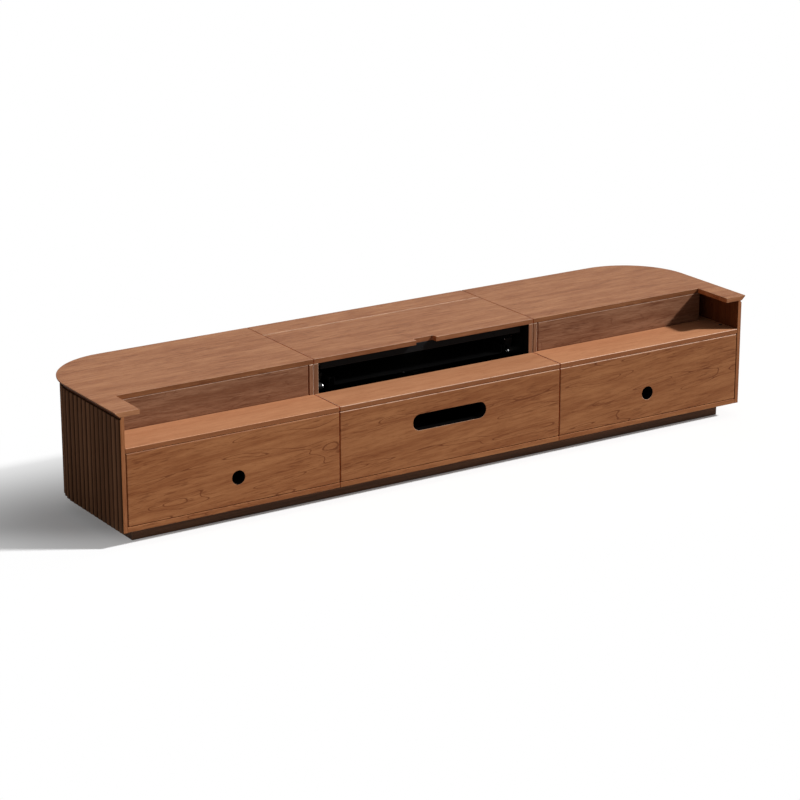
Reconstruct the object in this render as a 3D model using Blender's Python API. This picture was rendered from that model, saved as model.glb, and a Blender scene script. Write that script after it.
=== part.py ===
# Low television cabinet with a lift-up lid and a sliding projector tray, modelled as an assembly.
# Metres, +Z up. X runs along the cabinet, the front faces -Y, the floor is at Z = 0.
# It is three carcass modules side by side: two end modules with round rear corners, and a centre one.

import math

import bmesh
import bpy
from mathutils import Matrix, Vector

# Overall size
LENGTH = 2.400
DEPTH = 0.580
HEIGHT = 0.430
BOARD = 0.016
FIT = 0.0003
OVERRUN = 0.004

# Carcass
PLINTH_HEIGHT = 0.048
NICHE_HEIGHT = 0.0995
NICHE_DEPTH = 0.155
ARM_WIDTH = 0.0812
CENTRE_WIDTH = 0.847
OVERHANG = 0.010
REAR_RADIUS = 0.235
NOSE = 0.0035
UNDERCUT = 0.014
ARRIS = 0.002
SLIGHT_ARRIS = 0.0006
EDGE_ARRIS = 0.0015
TOP_SEAM = 0.0025
DECK_SEAM = 0.003
CARCASS_SEAM = 0.002
NICHE_REVEAL = 0.0035
NICHE_END_GAP = 0.0435
INNER_SIDE_INSET = 0.025

# End shells
SKIN = 0.0085
REED_DEPTH = 0.0055
REED_PITCH = 0.028
SKIN_REVEAL = 0.0075
END_PANEL = 0.0105

# Plinth
PLINTH_END_SETBACK = 0.0574
PLINTH_FRONT_SETBACK = 0.050
PLINTH_REAR_SETBACK = 0.100
PLINTH_BAYS = 4

# Drawers
FRONT_SEAM = 0.0035
FRONT_END_GAP = 0.003
FRONT_TOP_GAP = 0.002
FRONT_BOTTOM_GAP = 0.0025
HOLE_RADIUS = 0.023
HOLE_FROM_SEAM = 0.3645
HOLE_RISE = 0.0845
SLOT_LENGTH = 0.281
SLOT_HEIGHT = 0.055
SLOT_CORNER = 0.026
SLOT_SHIFT = -0.0105
SLOT_DROP = 0.0858
HOLE_ARRIS = 0.0005
BOX_REAR_SPACE = 0.1147
BOX_TOP_SPACE = 0.012
BOX_WALL = 0.012
BOX_LIFT = 0.0125
BOX_BOTTOM = 0.005
BOX_BOTTOM_RISE = 0.008
GROOVE_DEPTH = 0.005
RUNNER_SHORT = 0.020
RUNNER_HEIGHT = 0.035
RUNNER_SPACE = 0.0127
RUNNER_STEEL = 0.0012
RUNNER_SETBACK = 0.008

# Lid
REAR_STRIP_DEPTH = 0.1038
HINGE_RADIUS = 0.0028
HINGE_LEAF = 0.0011
HINGE_DROP = 0.003
HINGE_LEAF_MARGIN = 0.0015
HINGE_KNUCKLES = 21
NOTCH_WIDTH = 0.077
NOTCH_DEPTH = 0.0215
NOTCH_CORNER = 0.008
STIFFENER_LENGTH = 0.774
STIFFENER_SETBACK = 0.022
STIFFENER_HEIGHT = 0.0292
STIFFENER_DEPTH = 0.015

# Projector bay
BAY_FLOOR_DROP = 0.045
TRAY_WIDTH = 0.650
TRAY_REAR_SPACE = 0.060
TRAY_SETBACK = 0.040
TRAY_STEEL = 0.002
TRAY_LIFT = 0.003
TRAY_RIM = 0.0255
TRAY_BEND = 0.005
TRAY_RUNNER_SHORT = 0.020
TRAY_RUNNER_HEIGHT = 0.022
TRAY_RUNNER_RISE = 0.0125
TRAY_BRACKET_STEEL = 0.002
TRAY_BRACKET_FOOT = 0.030
CABLE_HOLE_RADIUS = 0.030
CABLE_HOLE_X = 0.200
CABLE_HOLE_RISE = 0.060
UNIT_WIDTH = 0.120
UNIT_DEPTH = 0.045
UNIT_HEIGHT = 0.042
UNIT_X = -0.240
INLET_WIDTH = 0.032
INLET_HEIGHT = 0.026
INLET_WALL = 0.003
INLET_RECESS = 0.009
INLET_PIN_RADIUS = 0.0018
INLET_PIN_LENGTH = 0.007
INLET_PIN_PITCH = 0.007
INLET_PIN_SHARES = ((-1, 0), (0, 0.5), (1, 0))

# Actuators
PIVOT_X = 0.370
PIVOT_SETBACK = 0.058
PIVOT_RISE = 0.0015
LUG_PIN_FROM_HINGE = 0.035
LUG_PIN_DROP = 0.014
EYE_RADIUS = 0.0125
EYE_WIDTH = 0.012
EYE_NECK_SHARE = 0.7
BOLT_RADIUS = 0.004
BOLT_HEAD_RADIUS = 0.0075
BOLT_HEAD_LENGTH = 0.004
BOLT_GRIP = 0.012
GEARBOX_START = 0.0165
GEARBOX_LENGTH = 0.042
GEARBOX_WIDTH = 0.028
GEARBOX_BELOW = 0.014
GEARBOX_ABOVE = 0.0375
GEARBOX_ROUNDING = 0.003
MOTOR_RADIUS = 0.0125
MOTOR_SHARE = 0.45
MOTOR_RISE = 0.0235
TUBE_RADIUS = 0.010
ROD_RADIUS = 0.005
ROD_BORE_SPARE = 0.005
ROD_SINK = 0.001
LID_ROD_SHOWN = 0.0353
LID_ROD_SPARE = 0.0315
LID_EYE_RADIUS = 0.010
LID_EYE_BORE = 0.007
LID_EYE_SETBACK = 0.0035
LID_PIN_RADIUS = 0.003
TRAY_ACTUATOR_REACH = 0.225
TRAY_ACTUATOR_SETBACK = 0.030
TRAY_TUBE_END = 0.203
TRAY_ROD_INSIDE = 0.135
TRAY_EYE_RADIUS = 0.009
STUD_RADIUS = 0.0085
ROD_EYE_WIDTH = 0.010
EAR_STEEL = 0.0025
EAR_RADIUS = 0.0065
EAR_FOOT = 0.010
EAR_HALF_LENGTH = 0.014
PIN_OVERHANG = 0.0015
PLATE_STEEL = 0.003
PLATE_BEFORE = 0.018
PLATE_BEHIND = 0.046
PLATE_BELOW = 0.022
PLATE_ABOVE = 0.044
PLATE_CORNER = 0.005

# Round work
CORNER_STEPS = 20
REED_STEPS = 5
HOLE_STEPS = 40
CIRCLE_STEPS = 24
SMALL_STEPS = 14
CORNER_SEGMENTS = 5
INLET_PIN_STEPS = 8
ROLL_STEPS = 9
ROLL_DEGREES = 288
SHARP_DEGREES = 32
ROUND_PROFILE = 0.5
UPWARD_SHARE = 0.9

# Places worked out from the sizes above
FRONT_Y = -DEPTH / 2
REAR_Y = DEPTH / 2
NICHE_Y = FRONT_Y + NICHE_DEPTH
TOP_Z = HEIGHT - BOARD
DECK_TOP = TOP_Z - NICHE_HEIGHT
DECK_Z = DECK_TOP - BOARD
FLOOR_BOARD_Z = PLINTH_HEIGHT + FIT
BOTTOM_TOP = PLINTH_HEIGHT + BOARD
BODY_HALF = LENGTH / 2 - OVERHANG
BODY_REAR = REAR_Y - OVERHANG
BODY_RADIUS = REAR_RADIUS - OVERHANG
SHELL = SKIN + END_PANEL
CORNER_X = BODY_HALF - BODY_RADIUS
CORNER_Y = BODY_REAR - BODY_RADIUS
END_INNER_X = BODY_HALF - SHELL
BACK_FACE = BODY_REAR - SHELL
BACK_PANEL_REAR = BODY_REAR - SKIN - FIT
SEAM_X = CENTRE_WIDTH / 2
CENTRE_OUTER = SEAM_X - CARCASS_SEAM / 2
CENTRE_INNER = CENTRE_OUTER - BOARD
PARTITION_OUTER = SEAM_X + CARCASS_SEAM / 2
PARTITION_INNER = PARTITION_OUTER + BOARD
NICHE_END_X = END_INNER_X - NICHE_END_GAP
CARCASS_FRONT = FRONT_Y + BOARD + RUNNER_SETBACK / 2
INNER_SIDE_X = END_INNER_X - INNER_SIDE_INSET - BOARD
FRONT_Z = BOTTOM_TOP + FRONT_BOTTOM_GAP
FRONT_TOP = DECK_Z - FRONT_TOP_GAP
BOX_Z = BOTTOM_TOP + BOX_LIFT
BOX_FRONT = FRONT_Y + BOARD + FIT
BOX_REAR = BACK_FACE - BOX_REAR_SPACE
DRAWER_RUNNER_Y = BOX_FRONT + RUNNER_SETBACK
RUNNER_LENGTH = BOX_REAR - BOX_FRONT - RUNNER_SHORT
HINGE_HALF_GAP = HINGE_RADIUS + FIT
HINGE_Y = REAR_Y - REAR_STRIP_DEPTH - HINGE_HALF_GAP
LID_REAR = HINGE_Y - HINGE_HALF_GAP
HINGE_Z = HEIGHT - HINGE_DROP
LID_HALF = SEAM_X - TOP_SEAM / 2
BAY_FLOOR_TOP = DECK_TOP - BAY_FLOOR_DROP
BOX_TOP = BAY_FLOOR_TOP - BOARD - BOX_TOP_SPACE
UNIT_Z = BAY_FLOOR_TOP + FIT + UNIT_HEIGHT / 2
TRAY_Z = DECK_TOP + TRAY_LIFT
TRAY_FRONT = NICHE_Y + TRAY_SETBACK
TRAY_HALF = TRAY_WIDTH / 2
TRAY_REAR = BACK_FACE - TRAY_REAR_SPACE
TRAY_RUNNER_Y = TRAY_FRONT + RUNNER_SETBACK
TRAY_RUNNER_LENGTH = TRAY_REAR - TRAY_FRONT - TRAY_RUNNER_SHORT
PIVOT_Y = NICHE_Y + PIVOT_SETBACK
PIVOT_Z = DECK_TOP + PIVOT_RISE
LUG_PIN_Y = HINGE_Y - LUG_PIN_FROM_HINGE
LUG_PIN_Z = TOP_Z - LUG_PIN_DROP
TRAY_ACTUATOR_Y = BACK_FACE - TRAY_ACTUATOR_SETBACK
TRAY_ACTUATOR_Z = BAY_FLOOR_TOP + FIT + GEARBOX_WIDTH / 2
TRAY_STUD_Y = TRAY_ACTUATOR_Y - TRAY_ACTUATOR_REACH

# Colour, roughness and metallic value of each material
LOOKS = {
    "walnut": ((0.265, 0.125, 0.064), 0.50, 0.0),
    "dark_walnut": ((0.055, 0.028, 0.016), 0.55, 0.0),
    "black_board": ((0.012, 0.012, 0.013), 0.60, 0.0),
    "drawer_ply": ((0.400, 0.290, 0.190), 0.60, 0.0),
    "black_steel": ((0.030, 0.030, 0.033), 0.45, 0.6),
    "zinc": ((0.550, 0.560, 0.580), 0.35, 1.0),
    "bright_steel": ((0.720, 0.720, 0.730), 0.22, 1.0),
    "black_plastic": ((0.018, 0.018, 0.020), 0.50, 0.0),
}


# Helpers

def clear_scene():
    for item in list(bpy.data.objects):
        bpy.data.objects.remove(item, do_unlink=True)


def make_material(name, look):
    colour, roughness, metallic = LOOKS[look]
    material = bpy.data.materials.new(name)
    material.use_nodes = True
    shader = material.node_tree.nodes["Principled BSDF"]
    shader.inputs["Base Color"].default_value = (*colour, 1.0)
    shader.inputs["Roughness"].default_value = roughness
    shader.inputs["Metallic"].default_value = metallic
    return material


def shade(item):
    item.data.shade_smooth()
    item.data.set_sharp_from_angle(angle=math.radians(SHARP_DEGREES))


def finish(name, bm, look=None):
    """Turn a bmesh into a named object with its own material. A cutting tool has none."""
    bmesh.ops.recalc_face_normals(bm, faces=bm.faces)
    mesh = bpy.data.meshes.new(name)
    bm.to_mesh(mesh)
    bm.free()
    item = bpy.data.objects.new(name, mesh)
    if look:
        mesh.materials.append(make_material(name, look))
        shade(item)
    bpy.context.scene.collection.objects.link(item)
    return item


def add_loft(bm, rings):
    """Add one closed solid through rings of equal point count, with flat caps."""
    loops = [[bm.verts.new(point) for point in ring] for ring in rings]
    for lower, upper in zip(loops, loops[1:]):
        for index in range(len(lower)):
            after = (index + 1) % len(lower)
            bm.faces.new((lower[index], lower[after], upper[after], upper[index]))
    bm.faces.new(loops[0])
    bm.faces.new(loops[-1])


def flat_ring(outline, z):
    return [Vector((x, y, z)) for x, y in outline]


def front_ring(outline, y):
    return [Vector((x, y, z)) for x, z in outline]


def side_ring(outline, x):
    return [Vector((x, y, z)) for y, z in outline]


def rectangle(u0, u1, v0, v1):
    return [(u0, v0), (u1, v0), (u1, v1), (u0, v1)]


def arc(u, v, radius, start, end, steps):
    """Points on an arc round (u, v), between two angles in degrees."""
    angles = [math.radians(start + (end - start) * step / steps) for step in range(steps + 1)]
    return [(u + radius * math.cos(a), v + radius * math.sin(a)) for a in angles]


def circle(u, v, radius, steps=CIRCLE_STEPS):
    return arc(u, v, radius, 0, 360, steps)[:-1]


def rounded_rectangle(u0, u1, v0, v1, radius):
    corners = ((u1 - radius, v1 - radius, 0), (u0 + radius, v1 - radius, 90),
               (u0 + radius, v0 + radius, 180), (u1 - radius, v0 + radius, 270))
    points = []
    for u, v, start in corners:
        points += arc(u, v, radius, start, start + 90, CORNER_SEGMENTS)
    return points


def soften(bm, width, segments=2):
    """Round the sharp outer edges of everything in a bmesh."""
    bmesh.ops.recalc_face_normals(bm, faces=bm.faces)
    sharp = [edge for edge in bm.edges
             if edge.is_convex and edge.calc_face_angle(0) > math.radians(SHARP_DEGREES)]
    bmesh.ops.bevel(bm, geom=sharp, offset=width, segments=segments, profile=ROUND_PROFILE,
                    affect="EDGES", clamp_overlap=True)


def add_block(bm, x0, x1, y0, y1, z0, z1):
    outline = rectangle(x0, x1, y0, y1)
    add_loft(bm, [flat_ring(outline, z0), flat_ring(outline, z1)])


def block(name, look, x0, x1, y0, y1, z0, z1, arris=0.0):
    """A board or bar between given faces, with its edges rounded where an arris is given."""
    bm = bmesh.new()
    add_block(bm, x0, x1, y0, y1, z0, z1)
    if arris:
        soften(bm, arris)
    return finish(name, bm, look)


def add_rod(bm, start, end, radius, steps=CIRCLE_STEPS):
    """Add a round bar between two points."""
    start = Vector(start)
    end = Vector(end)
    turn = (end - start).normalized().to_track_quat("Z", "Y").to_matrix()
    ring = [turn @ Vector((u, v, 0)) for u, v in circle(0, 0, radius, steps)]
    add_loft(bm, [[point + start for point in ring], [point + end for point in ring]])


def rod(start, end, radius, steps=CIRCLE_STEPS):
    bm = bmesh.new()
    add_rod(bm, start, end, radius, steps)
    return finish("tool", bm)


def solid(rings):
    bm = bmesh.new()
    add_loft(bm, rings)
    return finish("tool", bm)


def combine(item, operation, tools):
    """Cut the tools out of an object, or join them to it, and remove the tools."""
    for tool in tools:
        step = item.modifiers.new(operation.lower(), "BOOLEAN")
        step.operation = operation
        step.solver = "EXACT"
        step.object = tool
    bpy.context.view_layer.update()
    graph = bpy.context.evaluated_depsgraph_get()
    mesh = bpy.data.meshes.new_from_object(item.evaluated_get(graph))
    item.modifiers.clear()
    item.data = mesh
    for tool in tools:
        bpy.data.objects.remove(tool, do_unlink=True)
    shade(item)


def pivot(name, location, rotation=(0.0, 0.0, 0.0), parent=None):
    """An empty on a joint's axis. The pieces that move with the joint hang on it."""
    empty = bpy.data.objects.new(name, None)
    empty.location = location
    empty.rotation_euler = rotation
    empty.parent = parent
    bpy.context.scene.collection.objects.link(empty)
    return empty


def hang(empty, *items):
    """Parent pieces drawn in world coordinates to an empty, without moving them."""
    bpy.context.view_layer.update()
    for item in items:
        item.parent = empty
        item.matrix_parent_inverse = empty.matrix_world.inverted()


def mirror_x(outline, side):
    return [(side * u, v) for u, v in outline]


def both(side, near, far):
    """The low and high of two distances from the middle, on one side of it."""
    return sorted((side * near, side * far))


# Carcass

def corner_arc(offset):
    """The round rear corner of the right end, from its side to its rear, set in by an offset."""
    return arc(CORNER_X, CORNER_Y, BODY_RADIUS - offset, 0, 90, CORNER_STEPS)


def make_end_top(name, side):
    """End top board: an arm to the front, a round rear corner and an undercut outer edge."""
    arm_inner = LENGTH / 2 - ARM_WIDTH
    seam = SEAM_X + TOP_SEAM / 2

    def outline(inset):
        offset = inset - OVERHANG
        points = [(BODY_HALF - offset, FRONT_Y)] + corner_arc(offset)
        points += [(seam, BODY_REAR - offset), (seam, NICHE_Y), (arm_inner, NICHE_Y), (arm_inner, FRONT_Y)]
        return mirror_x(points, side)

    bm = bmesh.new()
    add_loft(bm, [flat_ring(outline(UNDERCUT), TOP_Z), flat_ring(outline(0), HEIGHT - NOSE),
                  flat_ring(outline(0), HEIGHT)])
    soften(bm, SLIGHT_ARRIS, segments=1)
    return finish(name, bm, "walnut")


def make_rear_strip():
    """Fixed strip of the top behind the lid, undercut along the rear."""
    front = HINGE_Y + HINGE_HALF_GAP
    rings = []
    for rear, z in ((REAR_Y - UNDERCUT, TOP_Z), (REAR_Y, HEIGHT - NOSE), (REAR_Y, HEIGHT)):
        rings.append(flat_ring(rectangle(-LID_HALF, LID_HALF, front, rear), z))
    bm = bmesh.new()
    add_loft(bm, rings)
    soften(bm, SLIGHT_ARRIS, segments=1)
    return finish("rear_top_strip", bm, "walnut")


def make_end_board(name, side, z0, z1, seam, arris, notched):
    """Board of an end module, with a round rear corner. The deck is notched round the partition."""
    rear = BACK_FACE - FIT
    points = [(END_INNER_X - FIT, FRONT_Y)] + corner_arc(SHELL + FIT)
    if notched:
        inner = PARTITION_INNER + FIT
        points += [(inner, rear), (inner, NICHE_Y - FIT), (seam, NICHE_Y - FIT), (seam, FRONT_Y)]
    else:
        points += [(seam, rear), (seam, FRONT_Y)]
    outline = mirror_x(points, side)
    bm = bmesh.new()
    add_loft(bm, [flat_ring(outline, z0), flat_ring(outline, z1)])
    soften(bm, arris, segments=1)
    return finish(name, bm, "walnut")


def make_end_panel(name, side):
    """Plain board bent round the rear corner, from the front to the back panel."""
    outer = [(BODY_HALF - SKIN - FIT, FRONT_Y)] + corner_arc(SKIN + FIT)
    inner = [(END_INNER_X, FRONT_Y)] + corner_arc(SHELL)
    outline = mirror_x(outer + inner[::-1], side)
    bm = bmesh.new()
    add_loft(bm, [flat_ring(outline, FLOOR_BOARD_Z), flat_ring(outline, TOP_Z - FIT)])
    return finish(name, bm, "walnut")


def shell_point(distance, offset):
    """A point on the right end's outside, at a distance along it from the front, set in by an offset."""
    straight = CORNER_Y - FRONT_Y
    if distance <= straight:
        return (BODY_HALF - offset, FRONT_Y + distance)
    angle = (distance - straight) / BODY_RADIUS
    radius = BODY_RADIUS - offset
    return (CORNER_X + radius * math.cos(angle), CORNER_Y + radius * math.sin(angle))


def reed_offset(share, pitch):
    """How far the face of a reed lies in from its crest, at a share of its width."""
    radius = (pitch ** 2 / 4 + REED_DEPTH ** 2) / (2 * REED_DEPTH)
    across = share * pitch - pitch / 2
    return radius - math.sqrt(radius ** 2 - across ** 2)


def make_reeded_skin(name, side):
    """Reeded skin over an end panel: convex reeds side by side, round the rear corner too."""
    total = CORNER_Y - FRONT_Y + BODY_RADIUS * math.pi / 2
    count = round(total / REED_PITCH)
    pitch = total / count
    outer = []
    for reed in range(count):
        for step in range(REED_STEPS):
            share = step / REED_STEPS
            outer.append(shell_point((reed + share) * pitch, reed_offset(share, pitch)))
    outer.append(shell_point(total, REED_DEPTH))
    inner = [(BODY_HALF - SKIN, FRONT_Y)] + corner_arc(SKIN)
    outline = mirror_x(outer + inner[::-1], side)
    bm = bmesh.new()
    add_loft(bm, [flat_ring(outline, FLOOR_BOARD_Z), flat_ring(outline, TOP_Z - SKIN_REVEAL)])
    return finish(name, bm, "dark_walnut")


def make_upright(name, x0, x1):
    """Partition or centre side: it carries the deck on a shoulder and the top at its full height."""
    rear = BACK_FACE - FIT
    outline = [(CARCASS_FRONT, BOTTOM_TOP + FIT), (rear, BOTTOM_TOP + FIT), (rear, TOP_Z - FIT),
               (NICHE_Y, TOP_Z - FIT), (NICHE_Y, DECK_Z - FIT), (CARCASS_FRONT, DECK_Z - FIT)]
    bm = bmesh.new()
    add_loft(bm, [side_ring(outline, x0), side_ring(outline, x1)])
    soften(bm, EDGE_ARRIS, segments=1)
    return finish(name, bm, "walnut")


def make_inner_side(name, side):
    """Side that the end drawer runs on. It goes back to the round corner of the end panel."""
    outer = INNER_SIDE_X + BOARD
    reach = (BODY_RADIUS - SHELL - FIT) ** 2 - max(outer - CORNER_X, 0) ** 2
    rear = CORNER_Y + math.sqrt(reach) - FIT
    return block(name, "walnut", *both(side, INNER_SIDE_X, outer), CARCASS_FRONT, rear,
                 BOTTOM_TOP + FIT, DECK_Z - FIT)


def make_end_module(word, side):
    """One end module: boards, shell, partition, niche back, inner side and back panel."""
    make_end_top(word + "_top_board", side)
    make_end_board(word + "_deck", side, DECK_Z, DECK_TOP, SEAM_X + DECK_SEAM / 2, EDGE_ARRIS, True)
    make_end_board(word + "_bottom_board", side, FLOOR_BOARD_Z, BOTTOM_TOP, PARTITION_OUTER,
                   SLIGHT_ARRIS, False)
    make_end_panel(word + "_end_panel", side)
    make_reeded_skin(word + "_reeded_skin", side)
    make_upright(word + "_partition", *both(side, PARTITION_OUTER, PARTITION_INNER))
    block(word + "_niche_back", "walnut", *both(side, PARTITION_INNER + NICHE_REVEAL, NICHE_END_X),
          NICHE_Y, NICHE_Y + BOARD, DECK_TOP + FIT, TOP_Z - FIT, ARRIS)
    make_inner_side(word + "_inner_side", side)
    block(word + "_back_panel", "black_board", *both(side, PARTITION_OUTER, CORNER_X - FIT),
          BACK_FACE, BACK_PANEL_REAR, FLOOR_BOARD_Z, TOP_Z - FIT)


def make_centre_module():
    """Centre module: boards, sides and the black bay that they enclose."""
    deck_half = SEAM_X - DECK_SEAM / 2
    block("centre_deck", "walnut", -deck_half, deck_half, FRONT_Y, NICHE_Y - FIT, DECK_Z, DECK_TOP, ARRIS)
    block("centre_bottom_board", "walnut", -CENTRE_OUTER, CENTRE_OUTER, FRONT_Y, BACK_FACE - FIT,
          FLOOR_BOARD_Z, BOTTOM_TOP, SLIGHT_ARRIS)
    make_upright("centre_left_side", -CENTRE_OUTER, -CENTRE_INNER)
    make_upright("centre_right_side", CENTRE_INNER, CENTRE_OUTER)
    block("bay_floor", "black_board", FIT - CENTRE_INNER, CENTRE_INNER - FIT, CARCASS_FRONT,
          BACK_FACE - FIT, BAY_FLOOR_TOP - BOARD, BAY_FLOOR_TOP)
    make_centre_back()


def make_centre_back():
    """Centre back panel, with a cable hole and a cut-out for the control unit's inlet."""
    panel = block("centre_back_panel", "black_board", -CENTRE_OUTER, CENTRE_OUTER, BACK_FACE,
                  BACK_PANEL_REAR, FLOOR_BOARD_Z, TOP_Z - FIT)
    hole = circle(CABLE_HOLE_X, BAY_FLOOR_TOP + CABLE_HOLE_RISE, CABLE_HOLE_RADIUS)
    half_width = INLET_WIDTH / 2 + FIT
    half_height = INLET_HEIGHT / 2 + FIT
    inlet = rectangle(UNIT_X - half_width, UNIT_X + half_width, UNIT_Z - half_height, UNIT_Z + half_height)
    tools = []
    for outline in (hole, inlet):
        tools.append(solid([front_ring(outline, y)
                            for y in (BACK_FACE - OVERRUN, BACK_PANEL_REAR + OVERRUN)]))
    combine(panel, "DIFFERENCE", tools)
    return panel


def make_plinth():
    """Plinth: a frame of rails, with cross rails that part it into bays."""
    half = BODY_HALF - PLINTH_END_SETBACK
    front = FRONT_Y + PLINTH_FRONT_SETBACK
    rear = REAR_Y - PLINTH_REAR_SETBACK
    frame = block("plinth_frame", "dark_walnut", -half, half, front, rear, 0, PLINTH_HEIGHT, ARRIS)
    pitch = (2 * half - BOARD) / PLINTH_BAYS
    tools = []
    for index in range(PLINTH_BAYS):
        x0 = BOARD - half + index * pitch
        bm = bmesh.new()
        add_block(bm, x0, x0 + pitch - BOARD, front + BOARD, rear - BOARD, -OVERRUN, PLINTH_HEIGHT + OVERRUN)
        tools.append(finish("tool", bm))
    combine(frame, "DIFFERENCE", tools)
    return frame


# Drawers

def make_drawer_front(name, x0, x1, outline_at):
    """Front board with a hole through it. The hole's edge is eased at the face."""
    front = block(name, "walnut", x0, x1, FRONT_Y, FRONT_Y + BOARD, FRONT_Z, FRONT_TOP, ARRIS)
    rings = [front_ring(outline_at(HOLE_ARRIS), FRONT_Y - OVERRUN),
             front_ring(outline_at(HOLE_ARRIS), FRONT_Y),
             front_ring(outline_at(0), FRONT_Y + HOLE_ARRIS),
             front_ring(outline_at(0), FRONT_Y + BOARD + OVERRUN)]
    combine(front, "DIFFERENCE", [solid(rings)])
    return front


def make_drawer_box(name, x0, x1, runner_z):
    """Sides with a groove for the bottom, a back between them, and the inner runners on the sides.
    The front board closes it."""
    groove_low = BOX_Z + BOX_BOTTOM_RISE - FIT
    groove_high = groove_low + BOX_BOTTOM + 2 * FIT
    sides = []
    for outer, inward in ((x0, 1), (x1, -1)):
        inner = outer + inward * BOX_WALL
        deep = inner - inward * (GROOVE_DEPTH + FIT)
        outline = [(outer, BOX_Z), (inner, BOX_Z), (inner, groove_low), (deep, groove_low),
                   (deep, groove_high), (inner, groove_high), (inner, BOX_TOP), (outer, BOX_TOP)]
        sides.append([front_ring(outline, BOX_FRONT), front_ring(outline, BOX_REAR)])
    bm = bmesh.new()
    add_loft(bm, sides[0])
    box = finish(name, bm, "drawer_ply")
    bm = bmesh.new()
    add_block(bm, x0 + BOX_WALL / 2, x1 - BOX_WALL / 2, BOX_REAR - BOX_WALL, BOX_REAR - FIT,
              groove_high + FIT, BOX_TOP - FIT)
    back = finish("tool", bm)
    half = RUNNER_HEIGHT / 2 - RUNNER_STEEL - FIT
    runners = [runner(x0, -1, runner_z, half, DRAWER_RUNNER_Y, RUNNER_LENGTH, FIT),
               runner(x1, 1, runner_z, half, DRAWER_RUNNER_Y, RUNNER_LENGTH, FIT)]
    combine(box, "UNION", [solid(sides[1]), back] + runners)
    return box


def make_drawer_bottom(name, x0, x1):
    inset = BOX_WALL - GROOVE_DEPTH
    z = BOX_Z + BOX_BOTTOM_RISE
    return block(name, "drawer_ply", x0 + inset, x1 - inset, BOX_FRONT, BOX_REAR, z, z + BOX_BOTTOM)


def runner_rings(face, inward, z, half_height, y0, length, sunk=0.0):
    """A steel channel with its web against a face. It is sunk a little into what it is one with."""
    web = face + inward * RUNNER_STEEL
    tip = face + inward * (RUNNER_SPACE - RUNNER_STEEL - 2 * FIT)
    base = face - inward * sunk
    low = half_height - RUNNER_STEEL
    outline = [(base, z - half_height), (tip, z - half_height), (tip, z - low), (web, z - low),
               (web, z + low), (tip, z + low), (tip, z + half_height), (base, z + half_height)]
    return [front_ring(outline, y0), front_ring(outline, y0 + length)]


def runner(*place):
    return solid(runner_rings(*place))


def finger_hole(side):
    """Outline of the round hole in an end drawer's front, at a given growth."""
    x = side * (SEAM_X + HOLE_FROM_SEAM)
    return lambda grow: circle(x, FRONT_Z + HOLE_RISE, HOLE_RADIUS + grow, HOLE_STEPS)


def finger_slot(grow):
    """Outline of the long slot in the centre drawer's front, at a given growth."""
    half = SLOT_LENGTH / 2 + grow
    rise = SLOT_HEIGHT / 2 + grow
    z = FRONT_TOP - SLOT_DROP
    return rounded_rectangle(SLOT_SHIFT - half, SLOT_SHIFT + half, z - rise, z + rise, SLOT_CORNER + grow)


def make_drawers():
    """Three drawers, and the fixed outer runners that they slide in."""
    end_x = END_INNER_X - FRONT_END_GAP
    seam_x = SEAM_X + FRONT_SEAM / 2
    centre_half = SEAM_X - FRONT_SEAM / 2
    plans = (("left", -end_x, -seam_x, -INNER_SIDE_X, -PARTITION_INNER, finger_hole(-1)),
             ("centre", -centre_half, centre_half, -CENTRE_INNER, CENTRE_INNER, finger_slot),
             ("right", seam_x, end_x, PARTITION_INNER, INNER_SIDE_X, finger_hole(1)))
    z = (BOX_Z + BOX_TOP) / 2
    for word, front_low, front_high, wall_low, wall_high, outline_at in plans:
        for hand, wall, inward in (("left", wall_low, 1), ("right", wall_high, -1)):
            bm = bmesh.new()
            add_loft(bm, runner_rings(wall + inward * FIT, inward, z, RUNNER_HEIGHT / 2,
                                      DRAWER_RUNNER_Y, RUNNER_LENGTH))
            finish(word + "_drawer_" + hand + "_runner", bm, "zinc")
        low = wall_low + RUNNER_SPACE
        high = wall_high - RUNNER_SPACE
        slide = pivot(word + "_drawer_slide", ((low + high) / 2, FRONT_Y, z))
        hang(slide,
             make_drawer_front(word + "_drawer_front", front_low, front_high, outline_at),
             make_drawer_box(word + "_drawer_box", low, high, z),
             make_drawer_bottom(word + "_drawer_bottom", low, high))


# Lid and hinge

def make_lid_board():
    """Lid with a finger notch in the middle of its front edge."""
    half = NOTCH_WIDTH / 2
    back = NICHE_Y + NOTCH_DEPTH
    outline = [(-LID_HALF, LID_REAR), (-LID_HALF, NICHE_Y), (-half, NICHE_Y)]
    outline += arc(NOTCH_CORNER - half, back - NOTCH_CORNER, NOTCH_CORNER, 180, 90, CORNER_SEGMENTS)
    outline += arc(half - NOTCH_CORNER, back - NOTCH_CORNER, NOTCH_CORNER, 90, 0, CORNER_SEGMENTS)
    outline += [(half, NICHE_Y), (LID_HALF, NICHE_Y), (LID_HALF, LID_REAR)]
    bm = bmesh.new()
    add_loft(bm, [flat_ring(outline, TOP_Z), flat_ring(outline, HEIGHT)])
    soften(bm, SLIGHT_ARRIS, segments=1)
    return finish("lid_board", bm, "walnut")


def make_lid_stiffener():
    """Black bar under the lid, behind its finger notch."""
    front = NICHE_Y + STIFFENER_SETBACK
    half = STIFFENER_LENGTH / 2
    return block("lid_stiffener", "black_board", -half, half, front, front + STIFFENER_DEPTH,
                 TOP_Z - FIT - STIFFENER_HEIGHT, TOP_Z - FIT, ARRIS)


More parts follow.
